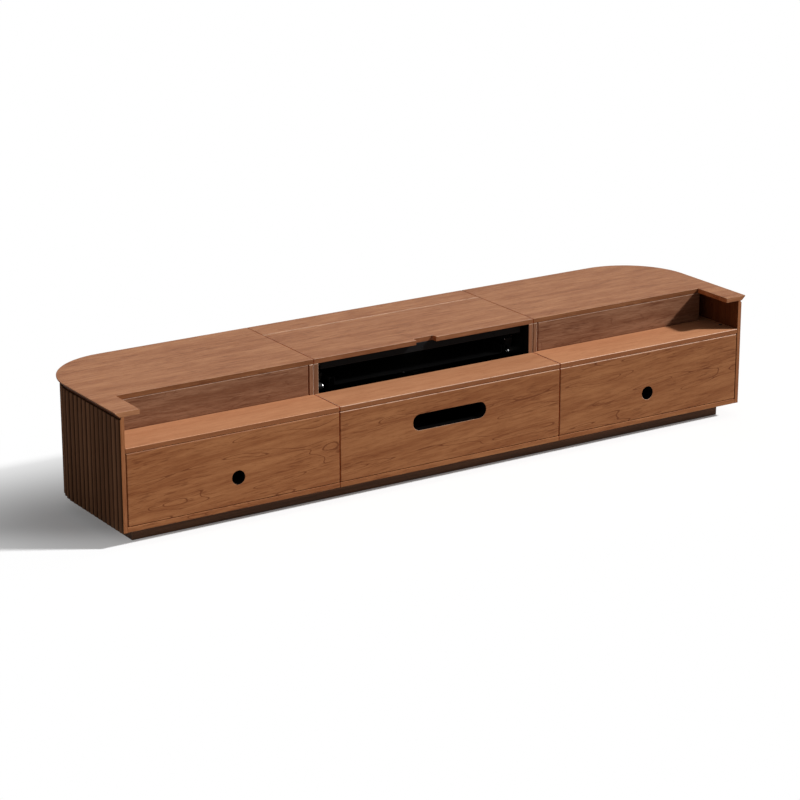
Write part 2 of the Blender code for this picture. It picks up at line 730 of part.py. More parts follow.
def make_hinge_leaf(name, side, first):
    """One leaf of the piano hinge: a steel strip, with every second length of its top edge
    rolled round the pin."""
    pitch = 2 * LID_HALF / HINGE_KNUCKLES
    places = [-LID_HALF]
    for index in range(first, HINGE_KNUCKLES, 2):
        start = index * pitch - LID_HALF
        places += [start + FIT / 2, start + pitch - FIT / 2]
    places.append(LID_HALF)
    if first == 0:
        places = places[1:-1]
    face = HINGE_Y + side * HINGE_RADIUS
    section = rectangle(face, face - side * HINGE_LEAF, TOP_Z + HINGE_LEAF_MARGIN,
                        HINGE_Z - HINGE_RADIUS - FIT)
    bm = bmesh.new()
    add_loft(bm, [side_ring(section, x) for x in places])
    bmesh.ops.recalc_face_normals(bm, faces=bm.faces)
    bm.normal_update()
    axis = Vector((0, HINGE_Y, HINGE_Z))
    turn = Matrix.Rotation(side * math.radians(ROLL_DEGREES / ROLL_STEPS), 3, "X")
    tops = [face for face in bm.faces if face.normal.z > UPWARD_SHARE]
    tops.sort(key=lambda face: face.calc_center_median().x)
    tops = tops[::2] if first == 0 else tops[1::2]
    tops = bmesh.ops.extrude_discrete_faces(bm, faces=tops)["faces"]
    for face in tops:
        for vert in face.verts:
            vert.co.z = HINGE_Z
    for _ in range(ROLL_STEPS):
        tops = bmesh.ops.extrude_discrete_faces(bm, faces=tops)["faces"]
        verts = [vert for face in tops for vert in face.verts]
        bmesh.ops.rotate(bm, cent=axis, matrix=turn, verts=verts)
    return finish(name, bm, "zinc")


def make_hinge_pin():
    bm = bmesh.new()
    add_rod(bm, (-LID_HALF, HINGE_Y, HINGE_Z), (LID_HALF, HINGE_Y, HINGE_Z),
            HINGE_RADIUS - HINGE_LEAF - FIT, SMALL_STEPS)
    return finish("hinge_pin", bm, "zinc")


def make_lid_lug(name, centre):
    """Two steel ears under the lid, joined by the pin that an actuator pushes."""
    z = LUG_PIN_Z
    foot_z = TOP_Z - FIT - EAR_STEEL
    near = ROD_EYE_WIDTH / 2 + FIT
    before = LUG_PIN_Y - EAR_HALF_LENGTH
    behind = LUG_PIN_Y + EAR_HALF_LENGTH
    ear = [(behind, TOP_Z - FIT), (before, TOP_Z - FIT), (before, foot_z)]
    ear += arc(LUG_PIN_Y, z, EAR_RADIUS, 180, 360, SMALL_STEPS)
    ear += [(behind, foot_z)]
    reach = near + EAR_STEEL + PIN_OVERHANG
    bm = bmesh.new()
    add_rod(bm, (centre - reach, LUG_PIN_Y, z), (centre + reach, LUG_PIN_Y, z), LID_PIN_RADIUS)
    lug = finish(name, bm, "zinc")
    tools = []
    for outward in (-1, 1):
        x = centre + outward * near
        tools.append(solid([side_ring(ear, x), side_ring(ear, x + outward * EAR_STEEL)]))
        bm = bmesh.new()
        ends = sorted((x + outward * EAR_STEEL / 2, x + outward * (EAR_STEEL + EAR_FOOT)))
        add_block(bm, *ends, before, behind, foot_z, TOP_Z - FIT)
        tools.append(finish("tool", bm))
    combine(lug, "UNION", tools)
    return lug


# Actuators, drawn along +Y from the pivot at their own origin

def make_actuator_body(name, parent, tube_end):
    """Rear eye, gearbox, motor and tube of a linear actuator, with bores for its bolt and rod."""
    gear_end = GEARBOX_START + GEARBOX_LENGTH
    half = GEARBOX_WIDTH / 2
    bm = bmesh.new()
    add_block(bm, -half, half, GEARBOX_START, gear_end, -GEARBOX_BELOW, GEARBOX_ABOVE)
    soften(bm, GEARBOX_ROUNDING)
    body = finish(name, bm, "black_plastic")
    bm = bmesh.new()
    add_block(bm, -EYE_WIDTH / 2, EYE_WIDTH / 2, 0, GEARBOX_START + GEARBOX_ROUNDING,
              -EYE_RADIUS * EYE_NECK_SHARE, EYE_RADIUS * EYE_NECK_SHARE)
    neck = finish("tool", bm)
    eye = rod((-EYE_WIDTH / 2, 0, 0), (EYE_WIDTH / 2, 0, 0), EYE_RADIUS)
    motor_start = gear_end - GEARBOX_ROUNDING
    motor_end = gear_end + MOTOR_SHARE * (tube_end - gear_end)
    motor = rod((0, motor_start, MOTOR_RISE), (0, motor_end, MOTOR_RISE), MOTOR_RADIUS)
    tube = rod((0, motor_start, 0), (0, tube_end, 0), TUBE_RADIUS)
    combine(body, "UNION", [neck, eye, motor, tube])
    bolt_bore = rod((-EYE_WIDTH, 0, 0), (EYE_WIDTH, 0, 0), BOLT_RADIUS + FIT, SMALL_STEPS)
    rod_bore = rod((0, gear_end + ROD_BORE_SPARE, 0), (0, tube_end + OVERRUN, 0), ROD_RADIUS + FIT)
    combine(body, "DIFFERENCE", [bolt_bore, rod_bore])
    body.parent = parent
    return body


def make_actuator_rod(name, parent, inside, eye_radius, bore, setback):
    """Push rod and its eye. The origin is the pin; the eye may sit a little short of it."""
    end = -setback - eye_radius + ROD_SINK
    bm = bmesh.new()
    add_rod(bm, (0, -inside, 0), (0, end, 0), ROD_RADIUS)
    item = finish(name, bm, "bright_steel")
    half = ROD_EYE_WIDTH / 2
    eye = rod((-half, -setback, 0), (half, -setback, 0), eye_radius)
    combine(item, "UNION", [eye])
    hole = rod((-half - OVERRUN, -setback, 0), (half + OVERRUN, -setback, 0), bore)
    combine(item, "DIFFERENCE", [hole])
    item.parent = parent
    return item


def make_lid_bracket(name, side):
    """Plate on a side of the bay, with the boss and headed bolt that an actuator pivots on."""
    wall = CENTRE_INNER - FIT
    near = PIVOT_X + EYE_WIDTH / 2 + FIT
    head = PIVOT_X - EYE_WIDTH / 2 - FIT
    outline = rounded_rectangle(PIVOT_Y - PLATE_BEFORE, PIVOT_Y + PLATE_BEHIND,
                                PIVOT_Z - PLATE_BELOW, PIVOT_Z + PLATE_ABOVE, PLATE_CORNER)
    bm = bmesh.new()
    add_loft(bm, [side_ring(outline, x) for x in both(side, wall - PLATE_STEEL, wall)])
    bracket = finish(name, bm, "black_steel")
    spans = ((near, wall - PLATE_STEEL / 2, EYE_RADIUS),
             (head - BOLT_HEAD_LENGTH / 2, near + ROD_SINK, BOLT_RADIUS),
             (head - BOLT_HEAD_LENGTH, head, BOLT_HEAD_RADIUS))
    tools = []
    for start, end, radius in spans:
        tools.append(rod((side * start, PIVOT_Y, PIVOT_Z), (side * end, PIVOT_Y, PIVOT_Z), radius))
    combine(bracket, "UNION", tools)
    return bracket


def make_lid():
    """Lid, hinge and the two actuators that push it open."""
    hinge = pivot("lid_hinge", (0, HINGE_Y, HINGE_Z))
    hang(hinge, make_lid_board(), make_lid_stiffener(), make_hinge_leaf("hinge_lid_leaf", -1, 1),
         make_lid_lug("left_lid_lug", -PIVOT_X), make_lid_lug("right_lid_lug", PIVOT_X))
    make_hinge_leaf("hinge_fixed_leaf", 1, 0)
    make_hinge_pin()
    pitch = math.atan2(LUG_PIN_Z - PIVOT_Z, LUG_PIN_Y - PIVOT_Y)
    reach = math.hypot(LUG_PIN_Y - PIVOT_Y, LUG_PIN_Z - PIVOT_Z)
    tube_end = reach - LID_ROD_SHOWN
    inside = reach - GEARBOX_START - GEARBOX_LENGTH - ROD_BORE_SPARE - LID_ROD_SPARE
    for word, side in (("left", -1), ("right", 1)):
        tilt = pivot(word + "_actuator_tilt", (side * PIVOT_X, PIVOT_Y, PIVOT_Z), (pitch, 0, 0))
        slide = pivot(word + "_rod_slide", (0, reach, 0), parent=tilt)
        make_actuator_body(word + "_lid_actuator_body", tilt, tube_end)
        make_actuator_rod(word + "_lid_actuator_rod", slide, inside, LID_EYE_RADIUS, LID_EYE_BORE,
                          LID_EYE_SETBACK)
        make_lid_bracket(word + "_lid_bracket", side)


# Projector tray

def make_tray_pan():
    """Folded steel pan with low side flanges, and a stud under it for the actuator's eye."""
    low = TRAY_Z
    high = TRAY_Z + TRAY_RIM
    bend = TRAY_BEND
    half = TRAY_HALF
    steel = TRAY_STEEL
    outline = [(-half, high)] + arc(bend - half, low + bend, bend, 180, 270, CORNER_SEGMENTS)
    outline += arc(half - bend, low + bend, bend, 270, 360, CORNER_SEGMENTS) + [(half, high)]
    outline += [(half - steel, high)]
    outline += arc(half - bend, low + bend, bend - steel, 360, 270, CORNER_SEGMENTS)
    outline += arc(bend - half, low + bend, bend - steel, 270, 180, CORNER_SEGMENTS)
    outline += [(steel - half, high)]
    bm = bmesh.new()
    add_loft(bm, [front_ring(outline, TRAY_FRONT), front_ring(outline, TRAY_REAR)])
    pan = finish("tray_pan", bm, "black_steel")
    shoulder = TRAY_ACTUATOR_Z + ROD_EYE_WIDTH / 2 + FIT
    stud = rod((0, TRAY_STUD_Y, low + steel / 2), (0, TRAY_STUD_Y, shoulder), STUD_RADIUS)
    tip = rod((0, TRAY_STUD_Y, shoulder + ROD_SINK), (0, TRAY_STUD_Y, TRAY_ACTUATOR_Z - ROD_EYE_WIDTH / 2),
              BOLT_RADIUS, SMALL_STEPS)
    runner_half = TRAY_RUNNER_HEIGHT / 2 - RUNNER_STEEL - FIT
    place = (TRAY_Z + TRAY_RUNNER_RISE, runner_half, TRAY_RUNNER_Y, TRAY_RUNNER_LENGTH, FIT)
    combine(pan, "UNION", [stud, tip, runner(-half, -1, *place), runner(half, 1, *place)])
    return pan


def make_tray_runner(name, side):
    """Outer runner of the tray, on the angle that carries it on the bay's floor."""
    low = BAY_FLOOR_TOP + FIT
    high = TRAY_Z + TRAY_RUNNER_RISE + TRAY_RUNNER_HEIGHT / 2 + FIT
    steel = TRAY_BRACKET_STEEL
    wall = TRAY_HALF + RUNNER_SPACE + FIT
    outline = mirror_x([(wall, low), (wall + TRAY_BRACKET_FOOT, low), (wall + TRAY_BRACKET_FOOT, low + steel),
                        (wall + steel, low + steel), (wall + steel, high), (wall, high)], side)
    rear = TRAY_RUNNER_Y + TRAY_RUNNER_LENGTH + FIT
    bm = bmesh.new()
    add_loft(bm, [front_ring(outline, y) for y in (TRAY_RUNNER_Y - FIT, rear)])
    angle = finish(name, bm, "black_steel")
    channel = runner(side * (wall - FIT), -side, TRAY_Z + TRAY_RUNNER_RISE, TRAY_RUNNER_HEIGHT / 2,
                     TRAY_RUNNER_Y, TRAY_RUNNER_LENGTH, 2 * FIT)
    combine(angle, "UNION", [channel])
    return angle


def make_tray_actuator_foot(body):
    """Spacer under the tray actuator's eye and the bolt that holds it to the bay's floor."""
    bottom = TRAY_ACTUATOR_Z - EYE_WIDTH / 2
    top = TRAY_ACTUATOR_Z + EYE_WIDTH / 2
    spans = ((BAY_FLOOR_TOP + FIT, bottom + ROD_SINK, EYE_RADIUS + ROD_SINK),
             (bottom, top + BOLT_HEAD_LENGTH, BOLT_HEAD_RADIUS))
    tools = []
    for low, high, radius in spans:
        tools.append(rod((0, TRAY_ACTUATOR_Y, low), (0, TRAY_ACTUATOR_Y, high), radius))
    combine(body, "UNION", tools)


def make_tray():
    """Projector tray on runners, and the actuator that pushes it forward."""
    slide = pivot("tray_slide", (0, TRAY_FRONT, TRAY_Z))
    hang(slide, make_tray_pan())
    make_tray_runner("tray_left_runner", -1)
    make_tray_runner("tray_right_runner", 1)
    lie_flat = (0, math.pi / 2, math.pi)
    base = pivot("tray_actuator_base", (0, TRAY_ACTUATOR_Y, TRAY_ACTUATOR_Z), lie_flat)
    make_tray_actuator_foot(make_actuator_body("tray_actuator_body", base, TRAY_TUBE_END))
    end = pivot("tray_rod_end", (0, TRAY_STUD_Y, TRAY_ACTUATOR_Z), lie_flat)
    make_actuator_rod("tray_actuator_rod", end, TRAY_ROD_INSIDE + TRAY_ACTUATOR_REACH - TRAY_TUBE_END,
                      TRAY_EYE_RADIUS, BOLT_RADIUS + FIT, 0)
    hang(slide, end)


def make_control_unit():
    """Power and control unit at the back of the bay, with its mains inlet through the back panel."""
    rear = BACK_FACE - FIT
    half = UNIT_HEIGHT / 2
    bm = bmesh.new()
    add_block(bm, UNIT_X - UNIT_WIDTH / 2, UNIT_X + UNIT_WIDTH / 2, rear - UNIT_DEPTH, rear,
              UNIT_Z - half, UNIT_Z + half)
    soften(bm, GEARBOX_ROUNDING)
    unit = finish("control_unit", bm, "black_plastic")

    def inlet(inset):
        return rounded_rectangle(UNIT_X - INLET_WIDTH / 2 + inset, UNIT_X + INLET_WIDTH / 2 - inset,
                                 UNIT_Z - INLET_HEIGHT / 2 + inset, UNIT_Z + INLET_HEIGHT / 2 - inset,
                                 INLET_WALL)

    neck = solid([front_ring(inlet(0), y) for y in (rear - INLET_WALL, BACK_PANEL_REAR)])
    combine(unit, "UNION", [neck])
    recess = solid([front_ring(inlet(INLET_WALL), y)
                    for y in (BACK_PANEL_REAR - INLET_RECESS, BACK_PANEL_REAR + OVERRUN)])
    combine(unit, "DIFFERENCE", [recess])
    pins = []
    for across, up in INLET_PIN_SHARES:
        x = UNIT_X + across * INLET_PIN_PITCH
        z = UNIT_Z + up * INLET_PIN_PITCH
        start = BACK_PANEL_REAR - INLET_RECESS
        pins.append(rod((x, start - ROD_SINK, z), (x, start + INLET_PIN_LENGTH, z), INLET_PIN_RADIUS,
                        INLET_PIN_STEPS))
    combine(unit, "UNION", pins)
    return unit


def main():
    clear_scene()
    for word, side in (("left", -1), ("right", 1)):
        make_end_module(word, side)
    make_centre_module()
    make_rear_strip()
    make_plinth()
    make_drawers()
    make_lid()
    make_tray()
    make_control_unit()
    bpy.context.view_layer.update()


main()
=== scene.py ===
import math

import bpy
from mathutils import Euler, Matrix, Vector


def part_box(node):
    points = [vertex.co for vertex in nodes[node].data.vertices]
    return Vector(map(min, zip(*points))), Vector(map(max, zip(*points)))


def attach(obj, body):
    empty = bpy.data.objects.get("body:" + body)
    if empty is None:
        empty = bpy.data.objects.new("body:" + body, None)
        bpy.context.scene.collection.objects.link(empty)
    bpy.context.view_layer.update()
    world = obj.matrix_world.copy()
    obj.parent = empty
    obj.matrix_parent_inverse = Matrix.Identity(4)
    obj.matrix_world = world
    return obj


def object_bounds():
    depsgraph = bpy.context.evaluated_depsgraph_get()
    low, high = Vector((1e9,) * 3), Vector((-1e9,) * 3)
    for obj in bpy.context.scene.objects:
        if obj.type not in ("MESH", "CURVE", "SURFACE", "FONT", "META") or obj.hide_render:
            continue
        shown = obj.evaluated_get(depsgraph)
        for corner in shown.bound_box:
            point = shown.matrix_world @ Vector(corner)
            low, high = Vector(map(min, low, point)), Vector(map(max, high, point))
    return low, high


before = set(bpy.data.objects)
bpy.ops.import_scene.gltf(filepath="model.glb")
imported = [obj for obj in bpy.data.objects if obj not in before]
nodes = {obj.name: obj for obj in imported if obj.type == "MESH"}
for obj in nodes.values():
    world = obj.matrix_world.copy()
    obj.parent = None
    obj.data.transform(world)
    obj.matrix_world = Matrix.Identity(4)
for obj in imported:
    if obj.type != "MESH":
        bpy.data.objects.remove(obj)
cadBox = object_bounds()
bpy.ops.object.select_all(action="DESELECT")
print("frame loaded:", len(nodes), "nodes")


# Camera, where the photograph was taken from

camera = {
    "place": (-4.5555, -7.0698, 2.8771),
    "right": (0.84118, -0.54075, -0.00113),
    "up": (0.16574, 0.25583, 0.95241),
    "forward": (0.51473, 0.80134, -0.30482),
    "lens": 120.594,
    "sensor": 36.0,
}


def addCamera():
    data = bpy.data.cameras.new("photoCamera")
    data.lens = camera["lens"]
    data.sensor_width = camera["sensor"]
    data.clip_end = 100.0
    item = bpy.data.objects.new("photoCamera", data)
    back = -Vector(camera["forward"])
    turn = Matrix((Vector(camera["right"]), Vector(camera["up"]), back)).transposed()
    item.matrix_world = Matrix.Translation(camera["place"]) @ turn.to_4x4()
    bpy.context.scene.collection.objects.link(item)
    bpy.context.scene.camera = item


addCamera()
bpy.context.scene.view_settings.view_transform = "Standard"
print("camera placed")


# Shader maths: a Wire is one output of a node, and sums of wires add Math nodes

class Wire:
    def __init__(self, finish, socket):
        self.finish = finish
        self.socket = socket

    def maths(self, operation, first, second=0.0):
        return self.finish.add("ShaderNodeMath", {"operation": operation}, {0: first, 1: second})

    def __add__(self, other):
        return self.maths("ADD", self, other)

    def __radd__(self, other):
        return self.maths("ADD", other, self)

    def __sub__(self, other):
        return self.maths("SUBTRACT", self, other)

    def __rsub__(self, other):
        return self.maths("SUBTRACT", other, self)

    def __mul__(self, other):
        return self.maths("MULTIPLY", self, other)

    def __truediv__(self, other):
        return self.maths("DIVIDE", self, other)

    def __gt__(self, other):
        return self.maths("GREATER_THAN", self, other)

    def __lt__(self, other):
        return self.maths("LESS_THAN", self, other)

    def __abs__(self):
        return self.maths("ABSOLUTE", self)

    def most(self, other):
        return self.maths("MAXIMUM", self, other)

    def part(self, pitch):
        return self.maths("FRACT", self / pitch)


class Finish:
    # One material. Its methods add nodes and give back their outputs as wires.
    def __init__(self, name, roughness=0.5, metallic=0.0, specular=0.5, coat=0.0):
        self.material = bpy.data.materials.new(name)
        self.material.use_nodes = True
        self.tree = self.material.node_tree
        self.shader = self.tree.nodes["Principled BSDF"]
        self.set({"Roughness": roughness, "Metallic": metallic, "Specular IOR Level": specular,
                  "Coat Weight": coat})
        self.place = self.add("ShaderNodeTexCoord", output="Object")

    def feed(self, socket, value):
        if isinstance(value, Wire):
            self.tree.links.new(value.socket, socket)
        else:
            socket.default_value = value

    def add(self, kind, settings=None, sockets=None, output=0):
        node = self.tree.nodes.new(kind)
        for key, value in (settings or {}).items():
            if key == "stops":
                self.setStops(node.color_ramp, value)
            else:
                setattr(node, key, value)
        for key, value in (sockets or {}).items():
            self.feed(node.inputs[key], value)
        return Wire(self, node.outputs[output])

    def setStops(self, ramp, stops):
        while len(ramp.elements) < len(stops):
            ramp.elements.new(0.5)
        for element, (position, colour) in zip(ramp.elements, stops):
            element.position = position
            element.color = (*colour, 1.0)

    def set(self, sockets):
        for key, value in sockets.items():
            self.feed(self.shader.inputs[key], value)

    def split(self, vector):
        node = self.add("ShaderNodeSeparateXYZ", sockets={0: vector}).socket.node
        return [Wire(self, output) for output in node.outputs]

    def join(self, x, y, z):
        return self.add("ShaderNodeCombineXYZ", sockets={0: x, 1: y, 2: z})

    def length(self, vector):
        return self.add("ShaderNodeVectorMath", {"operation": "LENGTH"}, {0: vector}, output="Value")

    def noise(self, stretch, detail=2.0, rough=0.5, shift=(0, 0, 0), place=None, output=0):
        # Noise whose features are about 1 / stretch metres long on each axis.
        spot = self.add("ShaderNodeMapping", sockets={
            "Vector": place or self.place, "Location": shift, "Scale": stretch})
        return self.add("ShaderNodeTexNoise", sockets={
            "Vector": spot, "Scale": 1.0, "Detail": detail, "Roughness": rough}, output=output)

    def spread(self, value, low, high, start=0.0, end=1.0):
        return self.add("ShaderNodeMapRange", {"interpolation_type": "SMOOTHSTEP"},
                        {0: value, 1: low, 2: high, 3: start, 4: end})

    def blend(self, factor, first, second, way="MIX"):
        return self.add("ShaderNodeMix", {"data_type": "RGBA", "blend_type": way},
                        {0: factor, 6: first, 7: second}, output=2)

    def tint(self, factor, colour, tone):
        return self.blend(factor, colour, tone, "MULTIPLY")

    def ramp(self, value, *stops):
        return self.add("ShaderNodeValToRGB", {"stops": stops}, {0: value})

    def bump(self, height, depth, strength=1.0):
        self.set({"Normal": self.add("ShaderNodeBump", sockets={
            "Strength": strength, "Distance": depth, "Height": height})})

    def facing(self):
        # In the object's own directions, so that an opened lid keeps its finish.
        normal = self.add("ShaderNodeNewGeometry", output="True Normal")
        turn = {"vector_type": "NORMAL", "convert_from": "WORLD", "convert_to": "OBJECT"}
        return self.split(self.add("ShaderNodeVectorTransform", turn, {"Vector": normal}))

    def eased(self):
        # 1 on the narrow faces that round an edge off, which look neither along X, Y nor Z.
        x, y, z = self.facing()
        return 1.0 - self.spread(abs(x).most(abs(y)).most(abs(z)), 0.94, 0.995)


def rgb(colour, level=1.0):
    return (colour[0] * level, colour[1] * level, colour[2] * level, 1.0)


white = (1.0, 1.0, 1.0)

# A face looks along an axis when that part of its normal is above this
square = 0.9


# Wood. A grain gives the features in a metre along X, Y and Z.

walnut = {
    "light": 0.22,
    "dark": 0.20,
    "line": 0.42,
    "fade": (1.0, 1.43, 1.72),
    # The next two: the hue of the painted light and shade on side faces, and the colour of the painted
    # highlight on the arris.
    "seam": (1.0, 0.8, 0.62),
    "paleHighlight": (0.74, 0.50, 0.37),
    "ringPitch": 0.026,
    "swell": 0.250,
    "ripple": 0.004,
    "frontSlope": math.radians(4.0),
    "topSlope": math.radians(-1.0),
    "hillGrain": (3.6, 27.0, 27.0),
    "rippleGrain": (22.0, 120.0, 120.0),
    "patchGrain": (3.0, 15.0, 15.0),
    "streakGrain": (8.0, 85.0, 85.0),
    "bandGrain": (2.4, 28.0, 28.0),
    "fibreGrain": (30.0, 600.0, 600.0),
    "fleckGrain": (15.0, 210.0, 210.0),
    "poreGrain": (40.0, 900.0, 900.0),
    "lineStart": (0.84, 0.93),
    "lineEnd": (0.96, 1.0),
    "lineHill": (0.55, 0.59),
    "lineDepth": 0.8,
    "fleckDepth": 0.55,
    "poreDepth": 0.35,
    "relief": 0.00025,
}

# Parts of a face's normal between which a mask rises from 0 to 1
looks = {
    "front": (-0.75, -0.92),
    "down": (-0.15, -0.4),
    "along": (0.9, 0.98),
    "arris": (0.1, 0.35),
}

# Mean colours of the boards, as linear light
tones = {
    "top": (0.330, 0.138, 0.061),
    "front": (0.287, 0.107, 0.039),
    "deck": (0.485, 0.213, 0.102),
    "niche": (0.169, 0.074, 0.038),
    "edge": (0.290, 0.107, 0.041),
    "post": (0.208, 0.095, 0.050),
}


def shaded(tone, level):
    # Wood gets redder as it gets darker: green and blue fall faster than red.
    return rgb([part * level ** power for part, power in zip(tone, walnut["fade"])])


def walnutFinish(name, shift, tone="front", arris=0.5, contrast=1.0, turn=(0, 0, 0), coarse=1.0, lift=1.0,
                 loops=1.0, rim=None, rimFrom=-1.0, paintedUnderShading=1.0, paintedSideShading=1.0, paintedTopLight=1.0, side=0.0):
    # Flat-cut veneer: growth rings are contour lines of a hilly field, drawn only near its tops.
    # rim tints the edge that looks to the front, behind rimFrom. Three factors scale the faces that look
    # down, to the side or up:
    # above 1 they paint light into seams and gaps where shade falls, below 1 they paint shade. The arris
    # gets a painted highlight where it looks up, or right towards the sun for a side.
    mean = [part * lift for part in tones[tone]]
    wood = Finish(name, roughness=0.56, specular=0.12)
    grain = wood.add("ShaderNodeMapping", sockets={
        "Vector": wood.place, "Location": shift, "Rotation": turn, "Scale": (1, coarse, 1)})
    fx, fy, fz = wood.facing()
    hill = wood.noise(walnut["hillGrain"], detail=0.3, shift=(6, 1, 8), place=grain)
    ripple = wood.noise(walnut["rippleGrain"], detail=2.0, rough=0.6, place=grain)
    ring = (hill * walnut["swell"] + ripple * walnut["ripple"]).part(walnut["ringPitch"])
    line = wood.spread(ring, *walnut["lineStart"]) * (1.0 - wood.spread(ring, *walnut["lineEnd"]))
    line = line * wood.spread(hill, *walnut["lineHill"])
    patch = wood.noise(walnut["patchGrain"], detail=3.0, shift=(3, 5, 7), place=grain)
    streak = wood.noise(walnut["streakGrain"], detail=4.0, rough=0.62, shift=(9, 2, 4), place=grain)
    band = wood.noise(walnut["bandGrain"], detail=3.0, shift=(2, 9, 1), place=grain)
    fibre = wood.noise(walnut["fibreGrain"], detail=3.0, rough=0.6, place=grain)
    fleck = wood.noise(walnut["fleckGrain"], detail=2.0, rough=0.6, shift=(1, 6, 2), place=grain)
    fleck = wood.spread(fleck, 0.53, 0.64) * wood.spread(patch, 0.42, 0.60, 0.35, 1.0)
    pore = wood.noise(walnut["poreGrain"], detail=1.0, shift=(1, 6, 2), place=grain)
    pore = wood.spread(pore, 0.60, 0.70)
    shade = wood.spread(streak * 0.40 + band * 0.32 + fibre * 0.20 + patch * 0.08, 0.36, 0.62)
    colour = wood.blend(shade, shaded(mean, 1 + walnut["light"] * contrast),
                        shaded(mean, 1 - walnut["dark"] * contrast))
    dark = (fleck * walnut["fleckDepth"] * contrast).most(line * walnut["lineDepth"] * loops)
    dark = dark.most(pore * walnut["poreDepth"] * contrast)
    colour = wood.blend(dark, colour, shaded(mean, walnut["line"]))
    if rim:
        behind = wood.split(wood.place)[1] > rimFrom
        colour = wood.tint(wood.spread(fy, *looks["front"]) * behind, colour, rgb(rim))
    # Faces that look down: painted shade below 1, painted light in the gaps above 1.
    if paintedUnderShading != 1.0:
        colour = wood.tint(wood.spread(fz, *looks["down"]), colour, rgb(white, paintedUnderShading))
    # Faces that look up: painted light in the gaps.
    if paintedTopLight != 1.0:
        colour = wood.tint(wood.spread(fz, *looks["along"]), colour, rgb(white, paintedTopLight))
    # Side faces: painted light in the seams above 1, painted shade below 1.
    if paintedSideShading != 1.0:
        colour = wood.tint(wood.spread(abs(fx), *looks["along"]), colour, rgb(walnut["seam"], paintedSideShading))
    # Painted highlight on the rounded arris where it looks up, or right towards the sun for a side, broken
    # up by noise.
    if arris:
        highlightBreakup = wood.noise((45.0, 45.0, 45.0), detail=2.0)
        lit = wood.spread(fz, *looks["arris"]).most(wood.spread(fx, *looks["arris"]) * side)
        lit = lit * wood.eased() * wood.spread(highlightBreakup, 0.15, 0.5)
        colour = wood.blend(lit * arris, colour, rgb(walnut["paleHighlight"]))
    wood.set({"Base Color": colour, "Roughness": 0.48 + fibre * 0.16 + pore * 0.12})
    wood.bump(fibre * 0.5 + streak * 0.3 - pore * 0.8 - line * 0.2, walnut["relief"], 0.6)
    return wood.material


reed = {
    "cornerX": 0.965,
    "cornerY": 0.055,
    "radius": 0.225,
    "depth": 0.0055,
    "crest": 1.18,
    "groove": 0.34,
    "fibreGrain": (420.0, 420.0, 9.0),
    "streakGrain": (75.0, 75.0, 1.8),
    "toneGrain": (9.0, 9.0, 0.5),
    "scuffGrain": (30.0, 30.0, 14.0),
    "dark": (0.168, 0.075, 0.038),
    "middle": (0.250, 0.112, 0.057),
    "light": (0.345, 0.160, 0.084),
    "fibre": (0.060, 0.026, 0.013),
    "scuffed": (0.24, 0.15, 0.10),
    "scuffTop": 0.085,
    "scuffFull": 0.050,
    "frontEdge": (-0.2893, -0.2898),
}


def reedFinish(name, shift):
    # Dark oiled walnut with its grain running up the reeds; painted shade darkens the grooves between them
    # and a painted highlight lightens their crests.
    # The narrow front edge is left as the boards are.
    wood = Finish(name, roughness=0.7, specular=0.03)
    x, y, z = wood.split(wood.place)
    beyond = wood.join((abs(x) - reed["cornerX"]).most(0.0), (y - reed["cornerY"]).most(0.0), 0.0)
    sunk = (reed["radius"] - wood.length(beyond)) / reed["depth"]
    fibre = wood.noise(reed["fibreGrain"], detail=3.0, rough=0.6, shift=shift)
    streak = wood.noise(reed["streakGrain"], detail=4.0, rough=0.6, shift=shift)
    tone = wood.noise(reed["toneGrain"], detail=2.0, shift=shift)
    colour = wood.ramp(streak * 0.65 + tone * 0.35, (0.34, reed["dark"]), (0.50, reed["middle"]),
                       (0.66, reed["light"]))
    colour = wood.blend(wood.spread(fibre, 0.52, 0.72) * 0.4, colour, rgb(reed["fibre"]))
    # Painted shade in the grooves and painted highlight on the crests, by how deep the face lies.
    level = wood.spread(sunk, 0.15, 0.75, reed["crest"], reed["groove"])
    colour = wood.tint(1.0, colour, wood.join(level, level, level))
    scuff = wood.noise(reed["scuffGrain"], detail=3.0, shift=shift)
    foot = wood.spread(z, reed["scuffTop"], reed["scuffFull"]) * wood.spread(scuff, 0.4, 0.7)
    colour = wood.blend(foot * 0.3, colour, rgb(reed["scuffed"]))
    front = wood.spread(wood.facing()[1], -0.985, -0.998) * wood.spread(y, *reed["frontEdge"])
    colour = wood.blend(front, colour, rgb(tones["edge"]))
    wood.set({"Base Color": colour, "Roughness": 0.6 + fibre * 0.2})
    wood.bump(fibre * 0.7 + streak * 0.3, 0.0003, 0.7)
    return wood.material


plinth = {
    "streakGrain": (2.5, 70.0, 70.0),
    "fibreGrain": (16.0, 500.0, 500.0),
    "scuffGrain": (8.0, 40.0, 40.0),
    "dark": (0.100, 0.045, 0.023),
    "light": (0.225, 0.104, 0.054),
    "dust": (0.30, 0.24, 0.19),
    "dustTop": 0.012,
    "edgeHighlight": (0.34, 0.20, 0.13),
}


